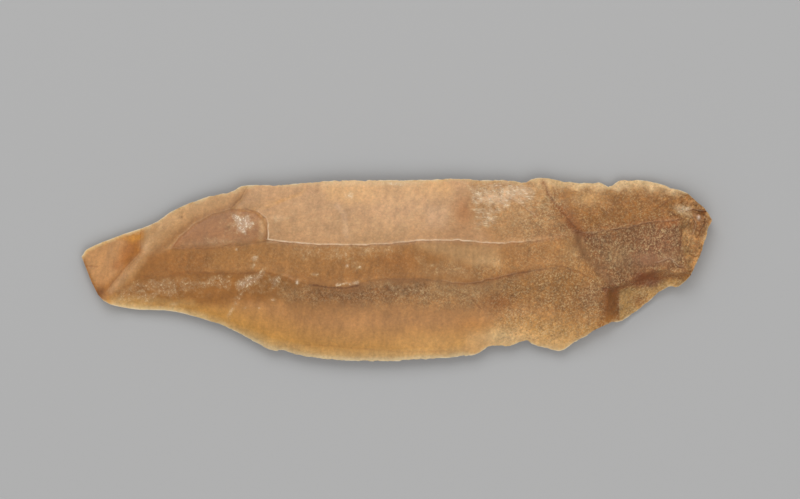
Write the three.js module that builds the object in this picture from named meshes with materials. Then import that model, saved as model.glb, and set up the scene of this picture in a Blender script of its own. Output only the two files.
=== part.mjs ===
// A flint sickle blade: one long flake, struck from a core in a single blow, lying on its smooth
// underside. It is one piece of stone. Its upper side carries the scars of earlier flakes, which
// meet in two long ridges; its underside is the face of the blow, with a bulb under the butt.
//
// Millimetres. +X runs from the snapped tip to the struck butt, +Y from the cutting edge to the
// back, and +Z up. The origin is the middle of the underside's box.
import * as THREE from "three";

// Driving sizes
const LENGTH = 85; // snapped tip to butt
const CONTACT = { tip: -39.5, bulb: 32 }; // where along X the bowed underside touches the ground
const UNDERSIDE_ARCH = 1.0; // how far the underside's middle clears the ground between them
const UNDERSIDE_LIFT = 0.5; // how far the two long edges rise above the underside's middle
const UNDERSIDE_SEAT = 0.08; // what the two contact spots have been flattened by
const BULB = { x: 32.5, y: 1.5, along: 6, across: 5, height: 0.2 };
const HOLLOW = { cuttingSide: 0.01, middle: 0.045, backSide: 0.05 }; // dish of each scar per width

// How finely the surface is divided. The bands across are cutting side, middle and back side.
const STATIONS = 92;
const STRIPS_PER_BAND = 7;
const BANDS = 3;

// Plan positions are read off a straight-down view of the blade, in that view's units, x to the
// butt and y down. VIEW_LENGTH of them are LENGTH, and VIEW_CENTRE is the middle of the outline.
const VIEW_LENGTH = 629.5;
const VIEW_CENTRE = { x: 395.75, y: 269.05 };
const VIEW_UNIT = LENGTH / VIEW_LENGTH;

// The small step just below the upper ridge, between two x positions of the view
const RIDGE_LIP = { height: 0.3, reach: 0.3, from: 225, to: 575, fade: 35 };

// How far along the view, each way, the edges' bites are evened out for the scars beside them
const EVENED_REACH = 30;

// The cutting edge, from the foot of the snapped tip to the foot of the butt: x, y
const CUTTING_EDGE = [
  [103.5, 300.5], [112, 304.5], [134, 308.8], [172, 310.8], [204, 319.2], [230, 328.5],
  [262, 345.8], [273, 350.2], [283, 350], [297, 355], [340, 359.8], [388, 360.8], [440, 357.8],
  [470, 355], [479, 352], [488, 346.6], [507, 346.4], [524, 341.8], [540, 346.5], [560, 350.2],
  [574, 341.6], [610, 323], [622, 320], [641, 306.8], [665, 287.8], [677, 286.8], [688, 276.5],
];

// The back, from the head of the snapped tip to the head of the butt: x, y
const BACK_EDGE = [
  [81, 256], [86, 248.8], [116, 236], [144, 226.4], [157, 220.5], [172, 210.2], [204, 197],
  [232, 190.2], [242, 185.2], [280, 184.1], [334, 179.8], [410, 179.4], [466, 177.6], [476, 179.4],
  [510, 179.4], [522, 181.6], [533, 177.8], [546, 177.3], [576, 182], [600, 182], [608, 185.6],
  [621, 179.2], [647, 180.4], [676, 188.6], [688, 193.6], [703, 206.6],
];

// The two long ridges between the scars, from the snapped tip to the butt: x, y, height
const LOWER_RIDGE = [
  [97.5, 294, 1.5], [112, 290.5, 2.1], [137, 281, 3.2], [165, 275, 4.1], [200, 271, 4.8],
  [264, 271, 5.6], [300, 281, 5.9], [335, 285.4, 6.1], [385, 277.5, 6.25], [422, 277.5, 6.25],
  [470, 282.4, 6.15], [515, 272.4, 6.05], [558, 264.8, 5.9], [580, 275, 5.6], [612, 285, 5.0],
  [645, 271.5, 4.4], [680, 271, 3.5], [698, 257, 2.9],
];
const UPPER_RIDGE = [
  [91, 281, 1.5], [107, 284, 2.1], [122, 275.5, 2.8], [147, 257, 3.85], [172, 247.5, 4.6],
  [205, 248, 5.1], [268, 239.8, 5.95], [300, 243.6, 6.2], [365, 244.6, 6.45], [415, 240.4, 6.5],
  [457, 240, 6.45], [490, 243.4, 6.4], [545, 238.4, 6.1], [578, 231.6, 5.6], [655, 220.6, 4.7],
  [680, 218.8, 4.3], [710.5, 219, 3.0],
];

// Thickness of the long edges themselves: x, millimetres
const CUTTING_RIM = [
  [103, 1.4], [125, 0.5], [200, 0.3], [300, 0.25], [470, 0.25], [560, 0.4], [580, 1.2], [614, 1.2],
  [624, 0.5], [655, 0.6], [668, 1.5], [690, 2.2],
];
const BACK_RIM = [
  [80, 1.3], [110, 0.55], [140, 0.4], [250, 0.3], [500, 0.35], [530, 0.5], [640, 0.6], [680, 1.0],
  [704, 2.1],
];

// Later, smaller scars. Each thins the blade by a share inside its outline (x, y), through a wall
// of the given width that is steep at its rim and runs out level at its foot.
const SCARS = {
  backLeft: {
    outline: [[145, 224], [147, 250], [170, 247.5], [180, 236.5], [195, 222.5], [212, 213],
      [230, 208.5], [248, 186.5], [252, 172], [196, 172]],
    share: 0.06, wall: 2.2,
  },
  lens: {
    outline: [[171, 247.6], [180, 236], [195, 223], [212, 213.5], [230, 209.2], [246, 208.6],
      [257, 211.4], [264, 217.6], [268, 227], [268, 239.6], [240, 243.6], [205, 248]],
    share: 0.11, wall: 0.9,
  },
  shoulder: {
    outline: [[248, 172], [247, 187.5], [232, 209], [258, 210.4], [280, 202.6], [300, 194], [345, 182],
      [345, 172]],
    share: 0.14, wall: 2.4,
  },
  lostCorner: {
    outline: [[606, 287], [613, 284.4], [630, 279], [645, 270.6], [660, 269], [688, 272.6], [700, 300],
      [640, 340], [606, 340]],
    share: 0.42, wall: 1.7,
  },
  platform: {
    outline: [[665, 202], [677, 219], [681, 247], [686, 270], [700, 290], [725, 270], [725, 190],
      [700, 190]],
    share: 0.18, wall: 1.2,
  },
};

// The slanted facet at the snapped tip: a flat of three corners (x, y, height) that cuts the two
// ridges off inside an outline, with a hollow wall of the given width along its right side.
const TIP_FACET = {
  outline: [[60, 236], [144, 214], [145, 251], [111, 294], [99, 312], [60, 312]],
  corners: [[81, 256, 1.1], [141, 231, 1.4], [107, 293, 2.0]],
  wall: 3.0,
};

// The long fold where the butt's own scars begin: x, y along it, with its half width and depth
const FOLD = {
  line: [[541, 176], [549, 198], [563, 217], [578, 233], [590, 259], [601, 275], [613, 287]],
  halfWidth: 0.8,
  depth: 0.32,
};

const planX = (x) => (x - VIEW_CENTRE.x) * VIEW_UNIT;
const planY = (y) => (VIEW_CENTRE.y - y) * VIEW_UNIT;
const lerp = THREE.MathUtils.lerp;
const clamp = THREE.MathUtils.clamp;

// A smooth line through points sorted by their first number, read at x: the other numbers there.
function along(points, x) {
  const last = points.length - 1;
  let i = 0;
  while (i < last - 1 && x > points[i + 1][0]) i++;
  const before = points[Math.max(i - 1, 0)];
  const from = points[i];
  const to = points[i + 1];
  const after = points[Math.min(i + 2, last)];
  const span = to[0] - from[0];
  const t = clamp((x - from[0]) / span, 0, 1);
  return from.slice(1).map((start, k) => {
    const end = to[k + 1];
    const startSlope = (end - before[k + 1]) / (to[0] - before[0]);
    const endSlope = (after[k + 1] - start) / (after[0] - from[0]);
    const rise = t * t * (3 - 2 * t);
    return start + (end - start) * rise
      + startSlope * span * t * (1 - t) * (1 - t)
      - endSlope * span * t * t * (1 - t);
  });
}

// Straight runs between points, read at x.
function straight(points, x) {
  let i = 0;
  while (i < points.length - 2 && x > points[i + 1][0]) i++;
  const [[x0, y0], [x1, y1]] = [points[i], points[i + 1]];
  return lerp(y0, y1, clamp((x - x0) / (x1 - x0), 0, 1));
}

function distanceToSegment(x, y, [x0, y0], [x1, y1]) {
  const dx = x1 - x0;
  const dy = y1 - y0;
  const t = clamp(((x - x0) * dx + (y - y0) * dy) / (dx * dx + dy * dy), 0, 1);
  return Math.hypot(x - x0 - t * dx, y - y0 - t * dy);
}

const toPlan = ([x, y]) => [planX(x), planY(y)];

// How far (x, y) lies inside a closed outline, and 0 outside it.
function depthInside(outline, x, y) {
  let inside = false;
  let nearest = Infinity;
  outline.forEach((a, i) => {
    const b = outline[(i + 1) % outline.length];
    nearest = Math.min(nearest, distanceToSegment(x, y, a, b));
    const spans = a[1] > y !== b[1] > y;
    if (spans && x < a[0] + ((y - a[1]) / (b[1] - a[1])) * (b[0] - a[0])) inside = !inside;
  });
  return inside ? nearest : 0;
}

const scars = Object.values(SCARS).map((s) => ({ ...s, outline: s.outline.map(toPlan) }));
const foldLine = FOLD.line.map(toPlan);
const tipOutline = TIP_FACET.outline.map(toPlan);
const tipFlat = new THREE.Plane().setFromCoplanarPoints(
  ...TIP_FACET.corners.map(([x, y, height]) => new THREE.Vector3(planX(x), planY(y), height)),
);

// The height at (x, y) once the facet at the tip has cut it.
function cutByTip(x, y, height) {
  const t = Math.min(depthInside(tipOutline, x, y) / TIP_FACET.wall, 1);
  const flat = -(tipFlat.normal.x * x + tipFlat.normal.y * y + tipFlat.constant) / tipFlat.normal.z;
  return Math.min(height, lerp(height, flat, 1 - (1 - t) ** 2));
}

// The share of the blade's thickness that the later scars leave at (x, y).
function thicknessLeft(x, y) {
  return scars.reduce((left, { outline, share, wall }) => {
    const t = Math.min(depthInside(outline, x, y) / wall, 1);
    return left * (1 - share * (1 - (1 - t) ** 2));
  }, 1);
}

function foldDepth(x, y) {
  const nearest = Math.min(
    ...foldLine.slice(1).map((b, i) => distanceToSegment(x, y, foldLine[i], b)),
  );
  return FOLD.depth * Math.exp(-((nearest / FOLD.halfWidth) ** 2));
}

// How far the ground just below the upper ridge is stepped down from it.
function lipDrop(ridge, x, y) {
  const { smoothstep } = THREE.MathUtils;
  const starts = smoothstep(ridge.viewX, RIDGE_LIP.from, RIDGE_LIP.from + RIDGE_LIP.fade);
  const ends = smoothstep(ridge.viewX, RIDGE_LIP.to - RIDGE_LIP.fade, RIDGE_LIP.to);
  const away = Math.hypot(ridge.x - x, ridge.y - y);
  return RIDGE_LIP.height * starts * (1 - ends) * (1 - Math.exp(-away / RIDGE_LIP.reach));
}

// The y of a long edge at x, with its bites evened out.
const SAMPLES = [-1, -0.75, -0.5, -0.25, 0, 0.25, 0.5, 0.75, 1];
function evened(points, x) {
  const reach = Math.min(EVENED_REACH, x - points[0][0], points.at(-1)[0] - x);
  return SAMPLES.reduce((sum, s) => sum + along(points, x + s * reach)[0], 0) / SAMPLES.length;
}

// The four long lines at a station, from 0 at the tip to 1 at the butt: cutting edge, lower ridge,
// upper ridge and back. A line without heights of its own is a long edge.
const LONG_LINES = [CUTTING_EDGE, LOWER_RIDGE, UPPER_RIDGE, BACK_EDGE];
function longLinesAt(station) {
  return LONG_LINES.map((points) => {
    const x = lerp(points[0][0], points.at(-1)[0], station);
    const [y, height] = along(points, x);
    return { viewX: x, x: planX(x), y: planY(y), height };
  });
}

// The underside at (x, y), where across runs from -1 at the cutting edge to 1 at the back.
function underside(x, y, across) {
  const between = (x - CONTACT.tip) / (CONTACT.bulb - CONTACT.tip);
  const arch = Math.abs(4 * UNDERSIDE_ARCH * between * (1 - between));
  const lift = UNDERSIDE_LIFT * across * across;
  const bulb = BULB.height
    * Math.exp(-(((x - BULB.x) / BULB.along) ** 2) - ((y - BULB.y) / BULB.across) ** 2);
  return Math.max(0, arch + lift - bulb - UNDERSIDE_SEAT);
}

// The point of the surface at a station and a place across it, from 0 to BANDS.
function surfacePoint(station, place, onTop) {
  const lines = longLinesAt(station);
  const band = Math.min(Math.floor(place), BANDS - 1);
  const within = place - band;
  const [low, high] = [lines[band], lines[band + 1]];
  const x = lerp(low.x, high.x, within);
  const y = lerp(low.y, high.y, within);
  const [foot, head] = [lines[0], lines[BANDS]];
  const acrossAt = (lineY) => (2 * (lineY - foot.y)) / (head.y - foot.y) - 1;
  const below = underside(x, y, acrossAt(y));
  if (!onTop) return new THREE.Vector3(x, y, below);

  // The side scars rise from the evened edges, so that the bites don't score them across.
  const start = band === 0 ? planY(evened(CUTTING_EDGE, low.viewX)) : low.y;
  const end = band === BANDS - 1 ? planY(evened(BACK_EDGE, high.viewX)) : high.y;
  const share = clamp((y - start) / (end - start), 0, 1);

  const edgeTop = (line, rim) =>
    underside(line.x, line.y, acrossAt(line.y)) + straight(rim, line.viewX);
  const lowTop = band === 0 ? edgeTop(low, CUTTING_RIM) : low.height;
  const highTop = band === BANDS - 1 ? edgeTop(high, BACK_RIM) : high.height;
  const hollow = Object.values(HOLLOW)[band] * (end - start) * 4 * share * (1 - share);
  let height = lerp(lowTop, highTop, share) - hollow;
  if (band === 1) height -= lipDrop(high, x, y) * within;
  const inward = clamp(4 * within * (1 - within) + (band === 1 ? 1 : 0), 0, 1);
  height = cutByTip(x, y, height - foldDepth(x, y) * inward);
  return new THREE.Vector3(x, y, below + Math.max(height - below, 0.2) * thicknessLeft(x, y));
}

// A block of unit size whose grid of vertices is carried onto the blade's surface.
function bladeGeometry() {
  const block = new THREE.BoxGeometry(1, 1, 1, STATIONS, BANDS * STRIPS_PER_BAND, 1);
  const position = block.getAttribute("position");
  for (let i = 0; i < position.count; i++) {
    const station = position.getX(i) + 0.5;
    const place = (position.getY(i) + 0.5) * BANDS;
    const point = surfacePoint(station, place, position.getZ(i) > 0);
    position.setXYZ(i, point.x, point.y, point.z);
  }
  block.computeBoundingBox();
  const middle = block.boundingBox.getCenter(new THREE.Vector3());
  block.translate(-middle.x, -middle.y, -block.boundingBox.min.z);
  block.computeVertexNormals();
  return block;
}

const flint = new THREE.MeshStandardMaterial({
  name: "flint",
  color: new THREE.Color(0.69, 0.51, 0.33),
  roughness: 0.45,
  metalness: 0,
});

const blade = new THREE.Mesh(bladeGeometry(), flint);
blade.name = "sickle_blade";

const part = new THREE.Group();
part.add(blade);

export default part;
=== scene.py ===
"""A flint sickle blade lying on a pale floor, seen straight down under soft studio light.

The blade is one struck flake of honey-brown flint. Its plan is read in a straight-down view, x to
the butt and y down, and 629.5 units of that view are the 85 mm from the snapped tip to the butt.
"""

import logging
import math
from dataclasses import dataclass, field
from enum import Enum, IntEnum

import bmesh
import bpy
import numpy as np
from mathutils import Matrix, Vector
from numpy.typing import NDArray


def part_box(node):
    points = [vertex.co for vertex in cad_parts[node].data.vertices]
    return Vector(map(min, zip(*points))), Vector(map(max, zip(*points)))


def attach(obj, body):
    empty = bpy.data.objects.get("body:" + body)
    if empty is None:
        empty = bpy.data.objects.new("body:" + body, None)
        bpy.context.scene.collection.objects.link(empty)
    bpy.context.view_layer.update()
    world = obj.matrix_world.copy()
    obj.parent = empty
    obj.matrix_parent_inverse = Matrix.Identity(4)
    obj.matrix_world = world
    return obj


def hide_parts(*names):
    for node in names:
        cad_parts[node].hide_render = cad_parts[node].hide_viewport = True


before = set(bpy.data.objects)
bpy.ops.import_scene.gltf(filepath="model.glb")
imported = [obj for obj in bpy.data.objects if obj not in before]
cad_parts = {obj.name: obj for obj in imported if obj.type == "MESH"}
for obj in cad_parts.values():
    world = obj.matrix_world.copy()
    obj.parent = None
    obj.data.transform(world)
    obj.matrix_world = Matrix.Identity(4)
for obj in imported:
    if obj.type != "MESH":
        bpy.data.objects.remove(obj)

Array = NDArray[np.float64]
Point = tuple[float, float]
Span = tuple[float, float]
Outline = tuple[Point, ...]
Colour = tuple[float, float, float]
DisplayTone = tuple[int, int, int]
Socket = bpy.types.NodeSocket

MM = 0.001
NODE = "sickle_blade"
BODY = "root"
IMAGE_WIDTH = 800
IMAGE_MIDDLE: Point = (399.5, 249.0)

# how the studio light shows the stone, and a display's own curve
SURFACE_GLARE = 0.025
STUDIO_GAIN = 0.93
STONE_LIMITS: Span = (0.004, 0.95)
FULL_TONE = 255.0
DISPLAY_KNEE = 0.04045
DISPLAY_SLOPE = 12.92
DISPLAY_OFFSET = 0.055
DISPLAY_POWER = 2.4

log = logging.getLogger("sickle_blade")


@dataclass(frozen=True)
class PlanView:
    """The straight-down view that plan positions are read in, x to the butt and y down."""

    length: float = 629.5
    blade_mm: float = 85.0
    centre: Point = (395.75, 269.05)

    @property
    def unit(self) -> float:
        """Millimetres in one unit of the view."""
        return self.blade_mm / self.length

    def x_mm(self, x: Array | float) -> Array | float:
        """Turns a view x into millimetres along the blade."""
        return (x - self.centre[0]) * self.unit

    def y_mm(self, y: Array | float) -> Array | float:
        """Turns a view y into millimetres across the blade."""
        return (self.centre[1] - y) * self.unit


VIEW = PlanView()


def blend_between(low: Array | float, high: Array | float, share: Array | float) -> Array | float:
    """Mixes two values by a share from 0 to 1."""
    return low + (high - low) * share


def soften(share: Array) -> Array:
    """Makes a straight rise from 0 to 1 leave and arrive gently."""
    return share * share * (3.0 - 2.0 * share)


def ease(value: Array, start: float, end: float) -> Array:
    """Rises smoothly from 0 at start to 1 at end."""
    return soften(np.clip((value - start) / (end - start), 0.0, 1.0))


def hump(share: Array) -> Array:
    """An even hump, which is 1 halfway and 0 at both ends of a share from 0 to 1."""
    return 4.0 * share * (1.0 - share)


def bell(distance: Array, width: float) -> Array:
    """A smooth bump that is 1 at distance 0 and gone after about two widths."""
    return np.exp(-((distance / width) ** 2))


def stone_tone(shown: DisplayTone) -> Array:
    """Turns a tone seen under the studio light into the stone's own colour.

    Args:
        shown: Red, green and blue, 0 to 255.

    Returns:
        The three linear values.
    """
    share = np.array(shown, dtype=float) / FULL_TONE
    bright = ((share + DISPLAY_OFFSET) / (1.0 + DISPLAY_OFFSET)) ** DISPLAY_POWER
    light = np.where(share <= DISPLAY_KNEE, share / DISPLAY_SLOPE, bright)
    return np.clip((light - SURFACE_GLARE) / STUDIO_GAIN, *STONE_LIMITS)


class PlaneNoise:
    """Smooth noise over the plane that is the same each time."""

    CELLS = 256
    LAYER_SHIFT: Point = (17.3, -9.1)

    def __init__(self, seed: int) -> None:
        """Fills the lattice with the pattern that a seed picks."""
        generator = np.random.default_rng(seed)
        self.lattice = generator.uniform(-1.0, 1.0, (self.CELLS, self.CELLS))

    def at(self, x: Array, y: Array) -> Array:
        """Reads one layer of noise, with features about one unit across.

        Args:
            x: Where to read it.
            y: Where to read it.

        Returns:
            Noise from -1 to 1.
        """
        column = np.floor(x).astype(int)
        row = np.floor(y).astype(int)
        across = soften(x - column)
        down = soften(y - row)
        corners = [
            self.lattice[(column + i) % self.CELLS, (row + j) % self.CELLS]
            for j in (0, 1)
            for i in (0, 1)
        ]
        near = blend_between(corners[0], corners[1], across)
        far = blend_between(corners[2], corners[3], across)
        return blend_between(near, far, down)

    def layered(self, x: Array, y: Array, layers: int, fade: float = 0.5) -> Array:
        """Sums finer and finer noise.

        Args:
            x: Where to read it, in units of the coarsest features.
            y: Where to read it, in units of the coarsest features.
            layers: How many sizes are summed, each half the last.
            fade: How strong each is beside the last.

        Returns:
            Noise of about -1 to 1.
        """
        total = np.zeros_like(x)
        weight = 0.0
        for layer in range(layers):
            step = 2.0**layer
            strength = fade**layer
            shift_x, shift_y = (shift * layer for shift in self.LAYER_SHIFT)
            total = total + strength * self.at(x * step + shift_x, y * step + shift_y)
            weight += strength
        return total / weight


BORDER_NOISE = PlaneNoise(11)


@dataclass(frozen=True)
class Taper:
    """A value that passes smoothly from one to another between two places."""

    before: float
    after: float
    start: float
    end: float

    def at(self, x: Array) -> Array:
        """The value at each place."""
        return blend_between(self.before, self.after, ease(x, self.start, self.end))


@dataclass(frozen=True)
class LongLine:
    """A line that runs the blade's length: x, y and, on a ridge, height in millimetres."""

    points: tuple[tuple[float, ...], ...]

    def x_at(self, station: Array) -> Array:
        """View x at a station, from 0 at the tip to 1 at the butt."""
        return blend_between(self.points[0][0], self.points[-1][0], station)

    def at(self, x: Array) -> Array:
        """Reads the smooth line through the points.

        Args:
            x: View x of each reading.

        Returns:
            One row for y, and one for the height where the points have one.
        """
        table = np.array(self.points)
        last = len(table) - 1
        first = np.clip(np.searchsorted(table[1:-1, 0], x, side="left"), 0, last - 1)
        before = table[np.maximum(first - 1, 0)]
        start = table[first]
        end = table[first + 1]
        after = table[np.minimum(first + 2, last)]
        span = end[:, 0] - start[:, 0]
        t = np.clip((x - start[:, 0]) / span, 0.0, 1.0)
        rows = []
        for column in range(1, table.shape[1]):
            low, high = start[:, column], end[:, column]
            leave = (high - before[:, column]) / (end[:, 0] - before[:, 0])
            arrive = (after[:, column] - low) / (after[:, 0] - start[:, 0])
            rows.append(
                blend_between(low, high, soften(t))
                + leave * span * t * (1.0 - t) ** 2
                - arrive * span * t * t * (1.0 - t)
            )
        return np.array(rows)


def distance_to_line(points: Outline, x: Array, y: Array, closed: bool = False) -> Array:
    """Distance from each place to a run of straight pieces, in view units.

    Args:
        points: The corners of the run.
        x: View x of each place.
        y: View y of each place.
        closed: Whether the last corner joins the first.

    Returns:
        The distance from each place.
    """
    ends = points[1:] + points[:1] if closed else points[1:]
    nearest = np.full_like(x, np.inf)
    for (x0, y0), (x1, y1) in zip(points, ends):
        dx, dy = x1 - x0, y1 - y0
        t = np.clip(((x - x0) * dx + (y - y0) * dy) / (dx * dx + dy * dy), 0.0, 1.0)
        nearest = np.minimum(nearest, np.hypot(x - x0 - t * dx, y - y0 - t * dy))
    return nearest


def depth_inside(outline: Outline, x: Array, y: Array) -> Array:
    """How far each place lies inside a closed outline, and below 0 outside it.

    Args:
        outline: The corners of the outline.
        x: View x of each place.
        y: View y of each place.

    Returns:
        The distance to the outline, below 0 outside.
    """
    inside = np.zeros(x.shape, dtype=bool)
    for (x0, y0), (x1, y1) in zip(outline, outline[1:] + outline[:1]):
        if y0 == y1:
            continue
        spans = (y0 > y) != (y1 > y)
        inside ^= spans & (x < x0 + (y - y0) / (y1 - y0) * (x1 - x0))
    distance = distance_to_line(outline, x, y, closed=True)
    return np.where(inside, distance, -distance)


def wall_share(outline: Outline, wall_mm: float, x: Array, y: Array) -> Array:
    """How far down a scar's wall each place lies, 0 at the rim to 1 at its level foot."""
    inside = np.maximum(depth_inside(outline, x, y), 0.0) * VIEW.unit
    return 1.0 - (1.0 - np.minimum(inside / wall_mm, 1.0)) ** 2


@dataclass(frozen=True)
class Scar:
    """A later, smaller scar, which thins the blade by a share inside its outline."""

    outline: Outline
    share: float
    wall_mm: float

    def thickness_left(self, x: Array, y: Array) -> Array:
        """The share of the blade's thickness that the scar leaves at each place."""
        return 1.0 - self.share * wall_share(self.outline, self.wall_mm, x, y)


@dataclass(frozen=True)
class Facet:
    """A flat of three corners (x, y, height) that cuts the blade off inside an outline."""

    outline: Outline
    corners: tuple[tuple[float, float, float], ...]
    wall_mm: float

    def cut(self, x: Array, y: Array, height: Array) -> Array:
        """Cuts the top down to the flat.

        Args:
            x: View x of each place.
            y: View y of each place.
            height: Height of the top, in millimetres.

        Returns:
            The height left at each place, in millimetres.
        """
        corners = np.array(self.corners)
        sides = np.column_stack((corners[:, :2], np.ones(len(corners))))
        slope_x, slope_y, start = np.linalg.solve(sides, corners[:, 2])
        flat = slope_x * x + slope_y * y + start
        share = wall_share(self.outline, self.wall_mm, x, y)
        return np.minimum(height, blend_between(height, flat, share))


@dataclass(frozen=True)
class Groove:
    """A narrow dip along a line."""

    line: Outline
    half_width_mm: float
    depth_mm: float

    def drop(self, x: Array, y: Array) -> Array:
        """How far the groove lowers each place, in millimetres."""
        away = distance_to_line(self.line, x, y) * VIEW.unit
        return self.depth_mm * bell(away, self.half_width_mm)


@dataclass(frozen=True)
class RoughPatch:
    """A zone whose surface is broken up, with a soft border."""

    outline: Outline
    height_mm: float
    grain_mm: float
    border: float
    seed: int
    layers: int = 3
    fade: float = 0.6
    crest: float = 0.7

    def relief(self, x: Array, y: Array) -> Array:
        """Raises and lowers the broken surface.

        Args:
            x: View x of each place.
            y: View y of each place.

        Returns:
            The height that it adds at each place, in millimetres.
        """
        share = ease(depth_inside(self.outline, x, y), -self.border, self.border)
        size = self.grain_mm / VIEW.unit
        bumps = PlaneNoise(self.seed).layered(x / size, y / size, self.layers, self.fade)
        return share * self.height_mm * (1.0 - 2.0 * np.abs(bumps) ** self.crest)


def border_drift(x: Array, y: Array, wander: float, size: float) -> Array:
    """How far the border of a mark wanders at each place, in view units."""
    return wander * BORDER_NOISE.layered(x / size, y / size, 3)


class Mark:
    """Something that covers part of the surface, by a share from 0 to 1."""

    def cover(self, x: Array, y: Array) -> Array:
        """The share that the mark covers at each place."""
        raise NotImplementedError


@dataclass(frozen=True)
class Area(Mark):
    """A broad area with a soft border that wanders a little."""

    outline: Outline
    strength: float = 1.0
    border: float = 3.0
    wander: float = 2.0
    bay: float = 9.0

    def cover(self, x: Array, y: Array) -> Array:
        """The share that the area covers at each place."""
        depth = depth_inside(self.outline, x, y) + border_drift(x, y, self.wander, self.bay)
        return self.strength * ease(depth, -self.border, self.border)


@dataclass(frozen=True)
class Streak(Mark):
    """A soft line."""

    line: Outline
    strength: float = 1.0
    half_width: float = 1.0
    wander: float = 0.0
    bay: float = 7.0

    def cover(self, x: Array, y: Array) -> Array:
        """The share that the streak covers at each place."""
        away = distance_to_line(self.line, x, y) + border_drift(x, y, self.wander, self.bay)
        return self.strength * bell(np.maximum(away, 0.0), self.half_width)


@dataclass(frozen=True)
class Spot(Mark):
    """A soft round or oval spot."""

    centre: Point
    reach: Point
    strength: float = 1.0

    def cover(self, x: Array, y: Array) -> Array:
        """The share that the spot covers at each place."""
        along, across = (x - self.centre[0]) / self.reach[0], (y - self.centre[1]) / self.reach[1]
        return self.strength * bell(np.hypot(along, across), 1.0)


def covered(marks: tuple[Mark, ...], x: Array, y: Array) -> Array:
    """The share that the strongest of some marks covers at each place."""
    return np.max([mark.cover(x, y) for mark in marks], axis=0)


@dataclass(frozen=True)
class Tone:
    """A mark and the display colour that it lays down."""

    colour: DisplayTone
    mark: Mark


@dataclass(frozen=True)
class HairLine:
    """A line as thin as a hair: a dark crack with painted shade along it, and a painted highlight
    on a lip at its left where it has one.

    Left is as seen going along the line in the view.
    """

    line: Outline
    # how dark the crack and its painted shade are
    dark: float
    # how strong the painted highlight on the lip is
    lit: float = 0.0

    def side(self, x: Array, y: Array) -> Array:
        """How far each place lies from the line.

        Args:
            x: View x of each place.
            y: View y of each place.

        Returns:
            The distance in view units, below 0 on the line's left.
        """
        side = np.ones_like(x)
        nearest = np.full_like(x, np.inf)
        for (x0, y0), (x1, y1) in zip(self.line, self.line[1:]):
            gap = distance_to_line(((x0, y0), (x1, y1)), x, y)
            closer = gap < nearest
            turn = (x1 - x0) * (y - y0) - (y1 - y0) * (x - x0)
            side = np.where(closer, np.where(turn < 0.0, -1.0, 1.0), side)
            nearest = np.minimum(nearest, gap)
        return side * nearest


class Band(IntEnum):
    """The strips that the two ridges part the upper side into."""

    CUTTING = 0
    MIDDLE = 1
    BACK = 2


@dataclass(frozen=True)
class GridPlaces:
    """Places on the upper side, each in a band between two of the long lines."""

    station: Array
    band: NDArray[np.int64]
    within: Array
    lines: Array

    @property
    def low(self) -> Array:
        """View x and y and height of the line on the cutting edge's side of each place."""
        return self.lines[self.band, :, np.arange(len(self.band))].T

    @property
    def high(self) -> Array:
        """View x and y and height of the line on the back's side of each place."""
        return self.lines[self.band + 1, :, np.arange(len(self.band))].T


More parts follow.
